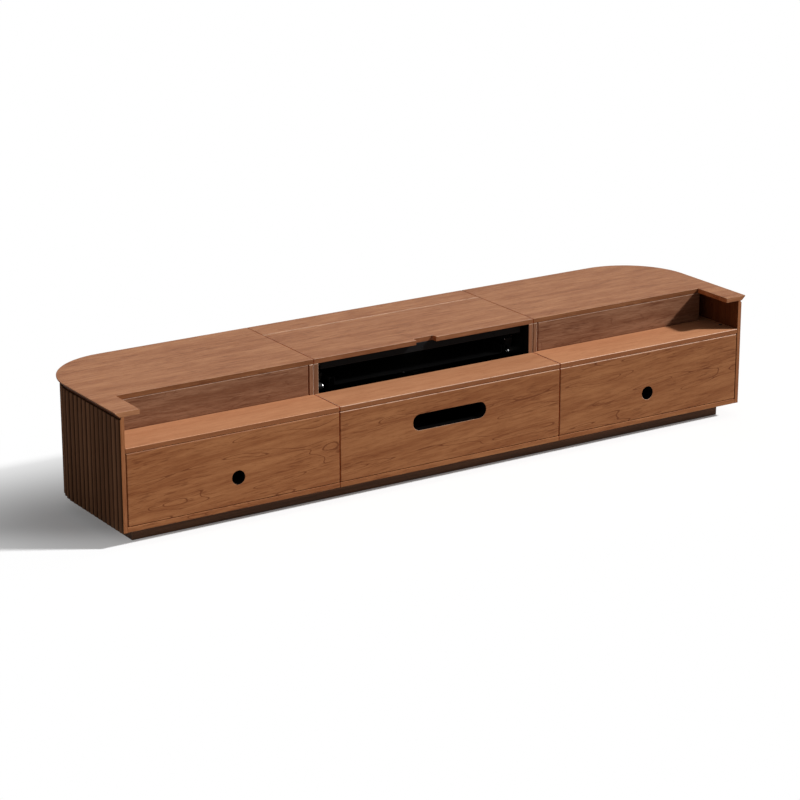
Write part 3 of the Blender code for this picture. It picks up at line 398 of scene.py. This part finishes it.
def plinthFinish():
    wood = Finish("plinthStain", roughness=0.6, specular=0.2)
    streak = wood.noise(plinth["streakGrain"], detail=4.0, rough=0.6)
    fibre = wood.noise(plinth["fibreGrain"], detail=3.0)
    colour = wood.ramp(streak, (0.32, plinth["dark"]), (0.68, plinth["light"]))
    scuff = wood.noise(plinth["scuffGrain"], detail=3.0, shift=(3, 1, 2))
    low = wood.spread(wood.split(wood.place)[2], plinth["dustTop"], 0.0)
    dust = low * wood.spread(scuff, 0.45, 0.7)
    colour = wood.blend(dust * 0.4, colour, rgb(plinth["dust"]))
    # Rounded edges: painted highlight.
    colour = wood.blend(wood.eased() * 0.5, colour, rgb(plinth["edgeHighlight"]))
    wood.set({"Base Color": colour, "Roughness": 0.5 + fibre * 0.2 + dust * 0.2})
    wood.bump(fibre + streak * 0.5, 0.0002, 0.6)
    return wood.material


zincTones = ((0.56, 0.57, 0.58), (0.38, 0.39, 0.41))
bronzeTones = ((0.42, 0.26, 0.17), (0.26, 0.15, 0.09))

ply = {
    "grain": (60.0, 3.0, 60.0),
    "fibreGrain": (500.0, 20.0, 500.0),
    "layers": 0.0027,
    "lean": 0.35,
    "rimZ": (0.236, 0.240),
    "dark": (0.010, 0.009, 0.008),
    "light": (0.020, 0.018, 0.017),
    "layer": (0.10, 0.085, 0.07),
    "runnerDepth": 0.0106,
}


def runnerMask(finish, name):
    # 1 on the inner runners, which are one with the drawer box that they carry.
    low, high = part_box(name)
    x = finish.split(finish.place)[0]
    return (x < low.x + ply["runnerDepth"]).most(x > high.x - ply["runnerDepth"])


def plyFinish(name):
    # Birch ply, stained black inside the drawers.
    board = Finish(name + "Ply", roughness=0.6, specular=0.1)
    x, y, z = board.split(board.place)
    grain = board.noise(ply["grain"], detail=4.0, rough=0.6)
    fibre = board.noise(ply["fibreGrain"], detail=2.0)
    layer = (x + y * ply["lean"]).part(ply["layers"]) > 0.5
    edge = board.spread(abs(board.facing()[2]), 0.8, 0.95) * board.spread(z, *ply["rimZ"])
    colour = board.ramp(grain, (0.3, ply["dark"]), (0.7, ply["light"]))
    colour = board.blend(edge * layer * 0.8, colour, rgb(ply["layer"]))
    rough = 0.5 + fibre * 0.2
    if name.endswith("box"):
        zinc = runnerMask(board, name)
        colour = board.blend(zinc, colour, steelColour(board, *zincTones)[0])
        rough = rough - zinc * 0.22
        board.set({"Metallic": zinc})
    board.set({"Base Color": colour, "Roughness": rough})
    board.bump(fibre + grain * 0.5, 0.0002, 0.5)
    return board.material


# Metal and plastic

def steelColour(steel, light, dark):
    patch = steel.noise((35.0, 12.0, 35.0), detail=3.0)
    spangle = steel.add("ShaderNodeTexVoronoi", {"feature": "F1"}, {"Vector": steel.place, "Scale": 220.0},
                        output="Color")
    cell = steel.split(spangle)[0]
    colour = steel.ramp(patch * 0.7 + cell * 0.3, (0.3, dark), (0.7, light))
    return colour, cell


def zincFinish():
    steel = Finish("zincPlate", roughness=0.36, metallic=1.0)
    colour, cell = steelColour(steel, *zincTones)
    scratch = steel.noise((900.0, 4.0, 900.0), detail=2.0)
    steel.set({"Base Color": colour, "Roughness": 0.28 + cell * 0.1 + scratch * 0.14})
    steel.bump(scratch + cell * 0.4, 0.00006, 0.6)
    return steel.material


def bronzeFinish():
    # The piano hinge, plated a brown close to the walnut.
    steel = Finish("hingeBronze", roughness=0.42, metallic=1.0)
    colour, cell = steelColour(steel, *bronzeTones)
    rub = steel.noise((60.0, 60.0, 60.0), detail=2.0)
    steel.set({"Base Color": colour, "Roughness": 0.36 + cell * 0.08 + rub * 0.12})
    steel.bump(rub + cell * 0.4, 0.00005, 0.6)
    return steel.material


def brightFinish(name, light, roughness):
    steel = Finish(name, roughness=roughness, metallic=1.0)
    turned = steel.noise((40.0, 2200.0, 2200.0), detail=2.0)
    film = steel.noise((30.0, 30.0, 30.0), detail=3.0)
    dull = (light * 0.82, light * 0.82, light * 0.83)
    colour = steel.ramp(film, (0.35, dull), (0.7, (light, light, light)))
    steel.set({"Base Color": colour, "Roughness": roughness - 0.06 + turned * 0.12 + film * 0.06})
    steel.bump(turned, 0.00003, 0.5)
    return steel.material


def blackFinish(name, level=0.010, roughness=0.6, specular=0.06, peel=1400.0):
    # Powder coat, melamine or moulded plastic: they differ in the size of their peel.
    skin = Finish(name, roughness=roughness, specular=specular)
    texture = skin.noise((peel, peel, peel), detail=1.0)
    dust = skin.noise((12.0, 12.0, 12.0), detail=3.0)
    clean = (level * 0.6, level * 0.6, level * 0.63)
    colour = skin.ramp(dust, (0.35, clean), (0.75, (level, level, level)))
    # Rounded edges: painted highlight, four times as light as the coat.
    colour = skin.blend(skin.eased() * 0.4, colour, rgb(white, level * 4))
    skin.set({"Base Color": colour, "Roughness": roughness - 0.08 + texture * 0.16})
    skin.bump(texture, 0.0001, 0.7)
    return skin.material


print("finishes defined")


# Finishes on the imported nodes

def dress(material, *names):
    for name in names:
        item = nodes[name]
        item.data.materials.clear()
        item.data.materials.append(material)


# Tints of the edges that look to the front. A top's arms reach further to the front than rimStart.
topRim = (0.57, 0.51, 0.44)
lidRim = (0.66, 0.60, 0.56)
deckRim = (0.53, 0.43, 0.33)
rimStart = -0.25

# For each module: where its grain starts, how strong the painted highlight on its arris is, and how light
# its front and deck are
modules = {
    "left": {"start": 0.0, "arris": 0.12, "front": 1.0, "deck": 0.94},
    "centre": {"start": 1.7, "arris": 0.5, "front": 0.97, "deck": 0.90},
    "right": {"start": 3.4, "arris": 0.6, "front": 0.95, "deck": 0.99},
}


def dressTops():
    level = (0, 0, walnut["topSlope"])
    for name, shift in (("left_top_board", (0.3, 1.1, 2.3)), ("right_top_board", (4.1, 2.7, 1.2))):
        dress(walnutFinish(name + "_walnut", shift, "top", 0.25, turn=level, coarse=0.8, loops=0.25,
                           rim=topRim, rimFrom=rimStart, paintedUnderShading=0.12, paintedSideShading=1.8), name)
    dress(walnutFinish("lid_walnut", (7.2, 3.4, 5.1), "top", 0.6, turn=level, coarse=0.8, loops=0.25,
                       rim=lidRim, rimFrom=rimStart, paintedSideShading=1.8), "lid_board")
    dress(walnutFinish("strip_walnut", (2.2, 8.4, 3.1), "top", 0.6, turn=level, coarse=0.8, loops=0.25,
                       paintedUnderShading=0.12, paintedSideShading=1.8), "rear_top_strip")


def dressModules():
    slope = (0, walnut["frontSlope"], 0)
    level = (0, 0, walnut["topSlope"])
    for word, plan in modules.items():
        a, b, c = plan["start"], 2.0 + plan["start"], 4.0 - plan["start"]
        dress(walnutFinish(word + "_front_walnut", (a, b, c), arris=plan["arris"], turn=slope,
                           lift=plan["front"], paintedSideShading=2.0, paintedUnderShading=1.6), word + "_drawer_front")
        dress(walnutFinish(word + "_deck_walnut", (b, c, a), "deck", plan["arris"] * 1.1, 0.4, turn=level,
                           coarse=0.6, lift=plan["deck"], loops=0.1, rim=deckRim, paintedSideShading=1.4, paintedUnderShading=2.0),
              word + "_deck")
        dress(walnutFinish(word + "_bottom_walnut", (c, a, b), arris=0.05, paintedSideShading=2.0, paintedTopLight=1.5),
              word + "_bottom_board")


def dressEnds():
    upright = (0, math.pi / 2, 0)
    for index, word in enumerate(("left", "right")):
        dress(walnutFinish(word + "_niche_walnut", (3.3 * index, 6.0, 1.0), "niche", 0.25, 1.2, lift=1.18,
                           loops=0.5, paintedSideShading=1.8), word + "_niche_back")
        dress(walnutFinish(word + "_end_walnut", (index, 1.0, 1.0), "edge", turn=upright, paintedSideShading=0.65),
              word + "_end_panel")
        dress(walnutFinish(word + "_side_walnut", (index, 4.0, 1.0), "post", 0.9, turn=upright, paintedSideShading=1.8,
                           side=1.0), word + "_partition", word + "_inner_side")
        dress(reedFinish(word + "_reed_stain", (index, 2.0, 3.0)), word + "_reeded_skin")


baySide = {
    "inside": 0.4068,
    "streakGrain": (34.0, 34.0, 1.6),
    "peelGrain": (900.0, 900.0, 900.0),
    "black": (0.004, 0.004, 0.004),
}


def baySideFinish():
    # The faces of the centre sides that look into the bay are black.
    wood = Finish("baySide", roughness=0.6, specular=0.06)
    streak = wood.noise(baySide["streakGrain"], detail=4.0)
    peel = wood.noise(baySide["peelGrain"], detail=1.0)
    brown = wood.blend(wood.spread(streak, 0.35, 0.65), rgb(tones["post"], 1.2), rgb(tones["post"], 0.75))
    # Rounded edges: painted highlight.
    brown = wood.blend(wood.eased() * 0.5, brown, rgb(walnut["paleHighlight"]))
    x = wood.split(wood.place)[0]
    black = (baySide["inside"] - abs(x) > 0.0) * (abs(wood.facing()[0]) > square)
    wood.set({"Base Color": wood.blend(black, brown, rgb(baySide["black"])),
              "Roughness": 0.54 + peel * 0.12})
    wood.bump(peel + streak * 0.5, 0.0001, 0.6)
    return wood.material


def dressRest():
    dress(plinthFinish(), "plinth_frame")
    dress(baySideFinish(), "centre_left_side", "centre_right_side")
    dress(blackFinish("backMelamine", 0.008, 0.65, peel=900.0), "centre_back_panel", "left_back_panel",
          "right_back_panel")
    dress(blackFinish("bayMelamine", 0.003, 0.7, 0.03, 900.0), "bay_floor")
    dress(blackFinish("stiffenerPaint", 0.008), "lid_stiffener")
    dress(blackFinish("trayCoat", 0.002, 0.7, 0.02), "tray_pan", "tray_left_runner", "tray_right_runner")
    dress(blackFinish("bracketCoat", 0.005, 0.6), "left_lid_bracket", "right_lid_bracket")
    dress(blackFinish("actuatorPlastic", 0.006, 0.5, 0.08, 1600.0), "left_lid_actuator_body",
          "right_lid_actuator_body", "tray_actuator_body", "control_unit")
    dress(brightFinish("polishedRod", 0.74, 0.2), "left_lid_actuator_rod", "right_lid_actuator_rod",
          "tray_actuator_rod")
    dress(bronzeFinish(), "hinge_fixed_leaf", "hinge_lid_leaf", "hinge_pin")
    zinc = zincFinish()
    dress(zinc, "left_lid_lug", "right_lid_lug")
    for word in ("left", "centre", "right"):
        dress(plyFinish(word + "_drawer_box"), word + "_drawer_box")
        dress(plyFinish(word + "_drawer_bottom"), word + "_drawer_bottom")
        dress(zinc, word + "_drawer_left_runner", word + "_drawer_right_runner")


dressTops()
dressModules()
dressEnds()
dressRest()
print("nodes dressed")


# Small parts, modelled on the imported frame

zinc = nodes["left_lid_lug"].data.materials[0]
blackSteel = nodes["lid_stiffener"].data.materials[0]
blackPlastic = nodes["control_unit"].data.materials[0]
linerBlack = blackFinish("linerBlack", 0.0015, 0.85, 0.02, 1600.0)
boltSteel = brightFinish("boltSteel", 0.9, 0.25)
smoothAngle = math.radians(35)

# Share of a head's height above which a face is its top
nearlyTop = 0.99


def named(name):
    item = bpy.context.object
    item.name = name
    item.data.name = name
    return item


def pick(item, test):
    # Selects faces by their centre and normal, and stays in edit mode.
    bpy.ops.object.mode_set(mode="EDIT")
    bpy.ops.mesh.select_mode(type="FACE")
    bpy.ops.mesh.select_all(action="DESELECT")
    bpy.ops.object.mode_set(mode="OBJECT")
    for face in item.data.polygons:
        face.select = test(face.center, face.normal)
    bpy.ops.object.mode_set(mode="EDIT")


def settle(item, material, body, place=None):
    # Applies what is left, puts the piece in its place and hangs it on a body.
    if item.mode == "EDIT":
        bpy.ops.object.mode_set(mode="OBJECT")
    bpy.context.view_layer.objects.active = item
    item.select_set(True)
    for modifier in list(item.modifiers):
        bpy.ops.object.modifier_apply(modifier=modifier.name)
    if place is not None:
        item.matrix_world = place @ item.matrix_world
    bpy.ops.object.transform_apply(location=True, rotation=True, scale=True)
    bpy.ops.object.shade_smooth_by_angle(angle=smoothAngle)
    item.data.materials.clear()
    item.data.materials.append(material)
    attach(item, body)
    item.select_set(False)


def addRing(name, radius, spot, vertices):
    # An outline in the XZ plane, left in edit mode with all of it selected.
    bpy.ops.mesh.primitive_circle_add(
        vertices=vertices, radius=radius, location=spot, rotation=(math.pi / 2, 0, 0))
    item = named(name)
    bpy.ops.object.transform_apply(location=True, rotation=True, scale=True)
    bpy.ops.object.mode_set(mode="EDIT")
    bpy.ops.mesh.select_mode(type="VERT")
    bpy.ops.mesh.select_all(action="SELECT")
    return item


def thicken(item, wall, soften, outward=-1.0):
    # Turns the open tube that is in edit mode into one with a wall and soft edges.
    bpy.ops.mesh.select_all(action="SELECT")
    bpy.ops.mesh.normals_make_consistent(inside=False)
    bpy.ops.object.mode_set(mode="OBJECT")
    solid = item.modifiers.new("wall", "SOLIDIFY")
    solid.thickness = wall
    solid.offset = outward
    soft = item.modifiers.new("soft", "BEVEL")
    soft.width = soften
    soft.segments = 2


# Black liners in the two finger holes and the slot

liner = {
    "front": -0.2897,
    "depth": 0.0245,
    "wall": 0.0012,
    "fit": 0.0002,
    "holeRadius": 0.023,
    "holeX": 0.788,
    "holeZ": 0.151,
    "slotX": -0.0105,
    "slotZ": 0.2107,
    "slotLength": 0.281,
    "slotHeight": 0.055,
    "slotCorner": 0.026,
}


def lineHole(item, body):
    # The open outline is selected. It is drawn back into a tube and given a wall inwards.
    bpy.ops.mesh.extrude_region_move(TRANSFORM_OT_translate={"value": (0, liner["depth"], 0)})
    thicken(item, liner["wall"], liner["wall"] / 4)
    settle(item, linerBlack, body)


def addLiners():
    radius = liner["holeRadius"] - liner["fit"]
    for word, side in (("left", -1), ("right", 1)):
        spot = (side * liner["holeX"], liner["front"], liner["holeZ"])
        lineHole(addRing(word + "_finger_hole_liner", radius, spot, 64), word + "_drawer")
    bpy.ops.mesh.primitive_plane_add(
        size=1.0, location=(liner["slotX"], liner["front"], liner["slotZ"]), rotation=(math.pi / 2, 0, 0))
    item = named("finger_slot_liner")
    item.scale = (liner["slotLength"] - 2 * liner["fit"], liner["slotHeight"] - 2 * liner["fit"], 1.0)
    bpy.ops.object.transform_apply(location=True, rotation=True, scale=True)
    bpy.ops.object.mode_set(mode="EDIT")
    bpy.ops.mesh.select_all(action="SELECT")
    bpy.ops.mesh.bevel(offset=liner["slotCorner"], segments=10, affect="VERTICES")
    bpy.ops.mesh.select_all(action="SELECT")
    bpy.ops.mesh.delete(type="ONLY_FACE")
    bpy.ops.mesh.select_all(action="SELECT")
    lineHole(item, "centre_drawer")


addLiners()
print("liners set in the drawer fronts")


# Screws and bolts: one head is modelled for each size, then copied

fixing = {
    "sides": 24,
    "heightShare": 0.55,
    "round": 0.30,
    "socketShare": 0.48,
    "socketDepthShare": 0.34,
    "socketTaper": 0.8,
    "small": 0.0022,
    "medium": 0.0036,
    "bolt": 0.0079,
    "boltHeight": 0.0062,
}


def modelHead(radius, height):
    bpy.ops.mesh.primitive_cylinder_add(
        vertices=fixing["sides"], radius=radius, depth=height, location=(0, 0, height / 2))
    item = named("head")
    bpy.ops.object.transform_apply(location=True, rotation=True, scale=True)
    pick(item, lambda centre, normal: normal.z > square)
    bpy.ops.mesh.bevel(offset=radius * fixing["round"], segments=4)
    top = height * nearlyTop
    pick(item, lambda centre, normal: normal.z > square and centre.z > top)
    bpy.ops.mesh.inset(thickness=radius * (1 - fixing["round"] - fixing["socketShare"]))
    bpy.ops.mesh.extrude_region_move(
        TRANSFORM_OT_translate={"value": (0, 0, -radius * fixing["socketDepthShare"])})
    bpy.ops.transform.resize(value=(fixing["socketTaper"], fixing["socketTaper"], 1.0))
    bpy.ops.object.mode_set(mode="OBJECT")
    return item


def addHeads(name, radius, spots, look, material, body, place=None, height=None):
    model = modelHead(radius, height or radius * fixing["heightShare"])
    model.select_set(False)
    turn = Vector(look).to_track_quat("Z", "Y").to_matrix().to_4x4()
    copies = []
    for spot in spots:
        copy = bpy.data.objects.new(name, model.data.copy())
        bpy.context.scene.collection.objects.link(copy)
        copy.matrix_world = Matrix.Translation(spot) @ turn
        copy.select_set(True)
        copies.append(copy)
    bpy.data.objects.remove(model)
    bpy.context.view_layer.objects.active = copies[0]
    if len(copies) > 1:
        bpy.ops.object.join()
    item = bpy.context.view_layer.objects.active
    item.name = name
    settle(item, material, body, place)


pivotPlace = {
    "x": 0.370,
    "y": -0.077,
    "z": 0.316,
    "headX": 0.3637,
    "plateX": 0.4032,
    "screwY": -0.0385,
    "screwZ": (0.3071, 0.3511),
}


def addBayFixings():
    spots = pivotPlace
    for word, side in (("left", -1), ("right", 1)):
        inward = (-side, 0, 0)
        bolts = [(side * spots["headX"], spots["y"], spots["z"])]
        addHeads(word + "_pivot_bolt_head", fixing["bolt"], bolts, inward, boltSteel, "carcass",
                 height=fixing["boltHeight"])
        screws = [(side * spots["plateX"], spots["screwY"], z) for z in spots["screwZ"]]
        addHeads(word + "_bracket_screws", fixing["small"], screws, inward, boltSteel, "carcass")


lidScrews = {
    "stiffenerX": (-0.283, -0.002, 0.281),
    "stiffenerZ": 0.3962,
    "lugInset": 0.16,
    "lugShares": (0.28, 0.72),
    "lugPlate": 0.0025,
}


def addLidFixings():
    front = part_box("lid_stiffener")[0].y
    spots = [(x, front, lidScrews["stiffenerZ"]) for x in lidScrews["stiffenerX"]]
    addHeads("stiffener_screws", fixing["small"], spots, (0, -1, 0), blackSteel, "lid")
    for word in ("left", "right"):
        low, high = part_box(word + "_lid_lug")
        inset = (high.x - low.x) * lidScrews["lugInset"]
        spots = []
        for x in (low.x + inset, high.x - inset):
            for share in lidScrews["lugShares"]:
                y = low.y + (high.y - low.y) * share
                spots.append((x, y, high.z - lidScrews["lugPlate"]))
        addHeads(word + "_lug_screws", fixing["small"], spots, (0, 0, -1), zinc, "lid")


backScrews = {"inset": 0.014, "across": {"left": 4, "centre": 5, "right": 4}}


def addBackScrews():
    for word, across in backScrews["across"].items():
        low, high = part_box(word + "_back_panel")
        inset = backScrews["inset"]
        spots = []
        for step in range(across):
            x = low.x + inset + (high.x - low.x - 2 * inset) * step / (across - 1)
            spots += [(x, high.y, low.z + inset), (x, high.y, high.z - inset)]
        middle = (low.z + high.z) / 2
        spots += [(low.x + inset, high.y, middle), (high.x - inset, high.y, middle)]
        addHeads(word + "_back_screws", fixing["medium"], spots, (0, 1, 0), blackSteel, "carcass")


addBayFixings()
addLidFixings()
addBackScrews()
print("screws and bolts set")


# Grommet in the cable hole of the back

grommet = {
    "x": 0.200,
    "z": 0.3295,
    "radius": 0.0297,
    "flange": 1.16,
    "wall": 0.0012,
    "inward": 0.002,
    "length": 0.0035,
    "flangeSlope": 0.0003,
}


def addGrommet():
    low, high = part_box("centre_back_panel")
    spot = (grommet["x"], low.y - grommet["inward"], grommet["z"])
    item = addRing("cable_grommet", grommet["radius"], spot, 64)
    depth = high.y - low.y + grommet["length"]
    bpy.ops.mesh.extrude_region_move(TRANSFORM_OT_translate={"value": (0, depth, 0)})
    bpy.ops.mesh.extrude_region_move(TRANSFORM_OT_translate={"value": (0, grommet["flangeSlope"], 0)})
    bpy.ops.transform.resize(value=(grommet["flange"], 1.0, grommet["flange"]))
    thicken(item, grommet["wall"], grommet["wall"] / 4)
    settle(item, blackPlastic, "carcass")


addGrommet()
print("grommet set in the back")


# Caps, collars and cover screws of the three actuators

actuator = {
    "gearStart": 0.0165,
    "gearEnd": 0.0585,
    "gearHalf": 0.014,
    "gearLow": -0.014,
    "gearHigh": 0.0375,
    "motorShare": 0.45,
    "motorRise": 0.0235,
    "motorRadius": 0.0125,
    "tubeRadius": 0.010,
    "capLength": 0.003,
    "capShare": 0.93,
    "capRound": 0.35,
    "capInset": 0.45,
    "capBoss": 0.5,
    "collarLength": 0.008,
    "collarWall": 0.0009,
    "collarSoft": 0.0003,
    "collarFit": 1.005,
    "screwInset": 0.0055,
    "lidTubeEnd": 0.20496,
    "trayTubeEnd": 0.203,
    "lidPitch": math.atan2(0.084, 0.2251),
    "trayPivot": (0, 0.231, 0.2838),
}


def addMotorCap(name, tubeEnd, place, body):
    end = actuator["gearEnd"] + actuator["motorShare"] * (tubeEnd - actuator["gearEnd"])
    length = actuator["capLength"]
    bpy.ops.mesh.primitive_cylinder_add(
        vertices=48, radius=actuator["motorRadius"] * actuator["capShare"], depth=length,
        location=(0, end + length / 2, actuator["motorRise"]), rotation=(math.pi / 2, 0, 0))
    item = named(name)
    bpy.ops.object.transform_apply(location=True, rotation=True, scale=True)
    pick(item, lambda centre, normal: normal.y > square)
    bpy.ops.mesh.bevel(offset=length * actuator["capRound"], segments=3)
    face = end + length * nearlyTop
    pick(item, lambda centre, normal: normal.y > square and centre.y > face)
    bpy.ops.mesh.inset(thickness=actuator["motorRadius"] * actuator["capInset"])
    bpy.ops.mesh.extrude_region_move(
        TRANSFORM_OT_translate={"value": (0, length * actuator["capBoss"], 0)})
    settle(item, zinc, body, place)


def addTubeCollar(name, tubeEnd, place, body):
    length = actuator["collarLength"]
    item = addRing(name, actuator["tubeRadius"] * actuator["collarFit"], (0, tubeEnd - length, 0), 48)
    bpy.ops.mesh.extrude_region_move(TRANSFORM_OT_translate={"value": (0, length, 0)})
    thicken(item, actuator["collarWall"], actuator["collarSoft"], 1.0)
    settle(item, blackPlastic, body, place)


def addCoverScrews(name, side, place, body):
    inset = actuator["screwInset"]
    spots = []
    for y in (actuator["gearStart"] + inset, actuator["gearEnd"] - inset):
        for z in (actuator["gearLow"] + inset, actuator["gearHigh"] - inset):
            spots.append((side * actuator["gearHalf"], y, z))
    addHeads(name, fixing["small"], spots, (side, 0, 0), zinc, body, place)


def addActuatorParts():
    for word, side in (("left", -1), ("right", 1)):
        place = Matrix.Translation((side * pivotPlace["x"], pivotPlace["y"], pivotPlace["z"]))
        place = place @ Matrix.Rotation(actuator["lidPitch"], 4, "X")
        body = word + "_actuator"
        addMotorCap(word + "_motor_cap", actuator["lidTubeEnd"], place, body)
        addTubeCollar(word + "_tube_collar", actuator["lidTubeEnd"], place, body)
        addCoverScrews(word + "_cover_screws", -side, place, body)
    turn = Euler((0, math.pi / 2, math.pi)).to_matrix().to_4x4()
    place = Matrix.Translation(actuator["trayPivot"]) @ turn
    addMotorCap("tray_motor_cap", actuator["trayTubeEnd"], place, "carcass")
    addTubeCollar("tray_tube_collar", actuator["trayTubeEnd"], place, "carcass")
    addCoverScrews("tray_cover_screws", -1, place, "carcass")


addActuatorParts()
print("actuators detailed")


# Plugs over the deck's cam fittings

deckPlug = {"x": 1.1568, "y": -0.2156, "radius": 0.006, "height": 0.0012}


def addDeckPlugs():
    for word, side in (("left", -1), ("right", 1)):
        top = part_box(word + "_deck")[1].z
        spot = (side * deckPlug["x"], deckPlug["y"], top)
        addHeads(word + "_deck_plug", deckPlug["radius"], [spot], (0, 0, 1), blackPlastic, "carcass",
                 height=deckPlug["height"])


addDeckPlugs()
print("deck plugs set")


# Light, floor and background

studio = {
    "sunTravel": (-0.697, 0.422, -0.580),
    "sunStrength": 4.85,
    "sunAngle": 5.0,
    "ambient": 0.11,
    "floorSize": 60.0,
    "floorForObject": 0.25,
    "shadowShare": 0.86,
    "shadowReach": 1.25,
    "shadowBack": (0.05, 0.9),
    "shadowEdge": 0.22,
    "shadowRim": 0.8,
}


def addLamp():
    sun = bpy.data.lights.new("keySun", "SUN")
    sun.energy = studio["sunStrength"]
    sun.angle = math.radians(studio["sunAngle"])
    item = bpy.data.objects.new("keySun", sun)
    item.rotation_euler = Vector(studio["sunTravel"]).to_track_quat("-Z", "Y").to_euler()
    bpy.context.scene.collection.objects.link(item)


def seenDirectly(tree):
    path = tree.nodes.new("ShaderNodeLightPath")
    first = tree.nodes.new("ShaderNodeMath")
    first.operation = "MAXIMUM"
    tree.links.new(path.outputs["Is Camera Ray"], first.inputs[0])
    tree.links.new(path.outputs["Is Glossy Ray"], first.inputs[1])
    last = tree.nodes.new("ShaderNodeMath")
    last.operation = "MAXIMUM"
    tree.links.new(first.outputs[0], last.inputs[0])
    tree.links.new(path.outputs["Is Transmission Ray"], last.inputs[1])
    return last.outputs[0]


def addBackground():
    world = bpy.data.worlds.new("studioWorld")
    bpy.context.scene.world = world
    world.use_nodes = True
    tree = world.node_tree
    shade = tree.nodes.new("ShaderNodeMix")
    shade.data_type = "RGBA"
    tree.links.new(seenDirectly(tree), shade.inputs[0])
    shade.inputs[6].default_value = rgb(white, studio["ambient"])
    shade.inputs[7].default_value = rgb(white)
    tree.links.new(shade.outputs[2], tree.nodes["Background"].inputs["Color"])


def addFloor():
    # The floor glows white away from the cabinet, so that its shadow fades out softly.
    bpy.ops.mesh.primitive_plane_add(size=studio["floorSize"])
    floor = bpy.context.object
    floor.name = "studioFloor"
    paper = Finish("floorPaper", roughness=0.9, specular=0.0)
    tooth = paper.noise((300.0, 300.0, 300.0), detail=2.0)
    x, y = paper.split(paper.place)[:2]
    beside = (abs(x) - cadBox[1].x).most(0.0)
    before = (abs(y) - cadBox[1].y).most(0.0)
    away = paper.length(paper.join(beside, before, 0.0))
    travel = Vector(studio["sunTravel"]).xy.normalized()
    inside = (x - cadBox[0].x) * travel.y - (y - cadBox[0].y) * travel.x
    share = paper.spread(away, 0.0, studio["shadowReach"], studio["shadowShare"], 0.0)
    share = share * (1.0 - paper.spread(y, *studio["shadowBack"]))
    share = share * paper.spread(inside, 0.0, studio["shadowEdge"], studio["shadowRim"], 1.0)
    seen = Wire(paper, seenDirectly(paper.tree))
    glow = (1.0 - share) * seen
    paper.set({"Base Color": paper.blend(seen, rgb(white, studio["floorForObject"]),
                                         paper.join(share, share, share)),
               "Emission Color": paper.join(glow, glow, glow), "Emission Strength": 1.0})
    paper.bump(tooth, 0.0001, 0.1)
    floor.data.materials.append(paper.material)
    floor.select_set(False)


addLamp()
addBackground()
addFloor()
print("studio lit")
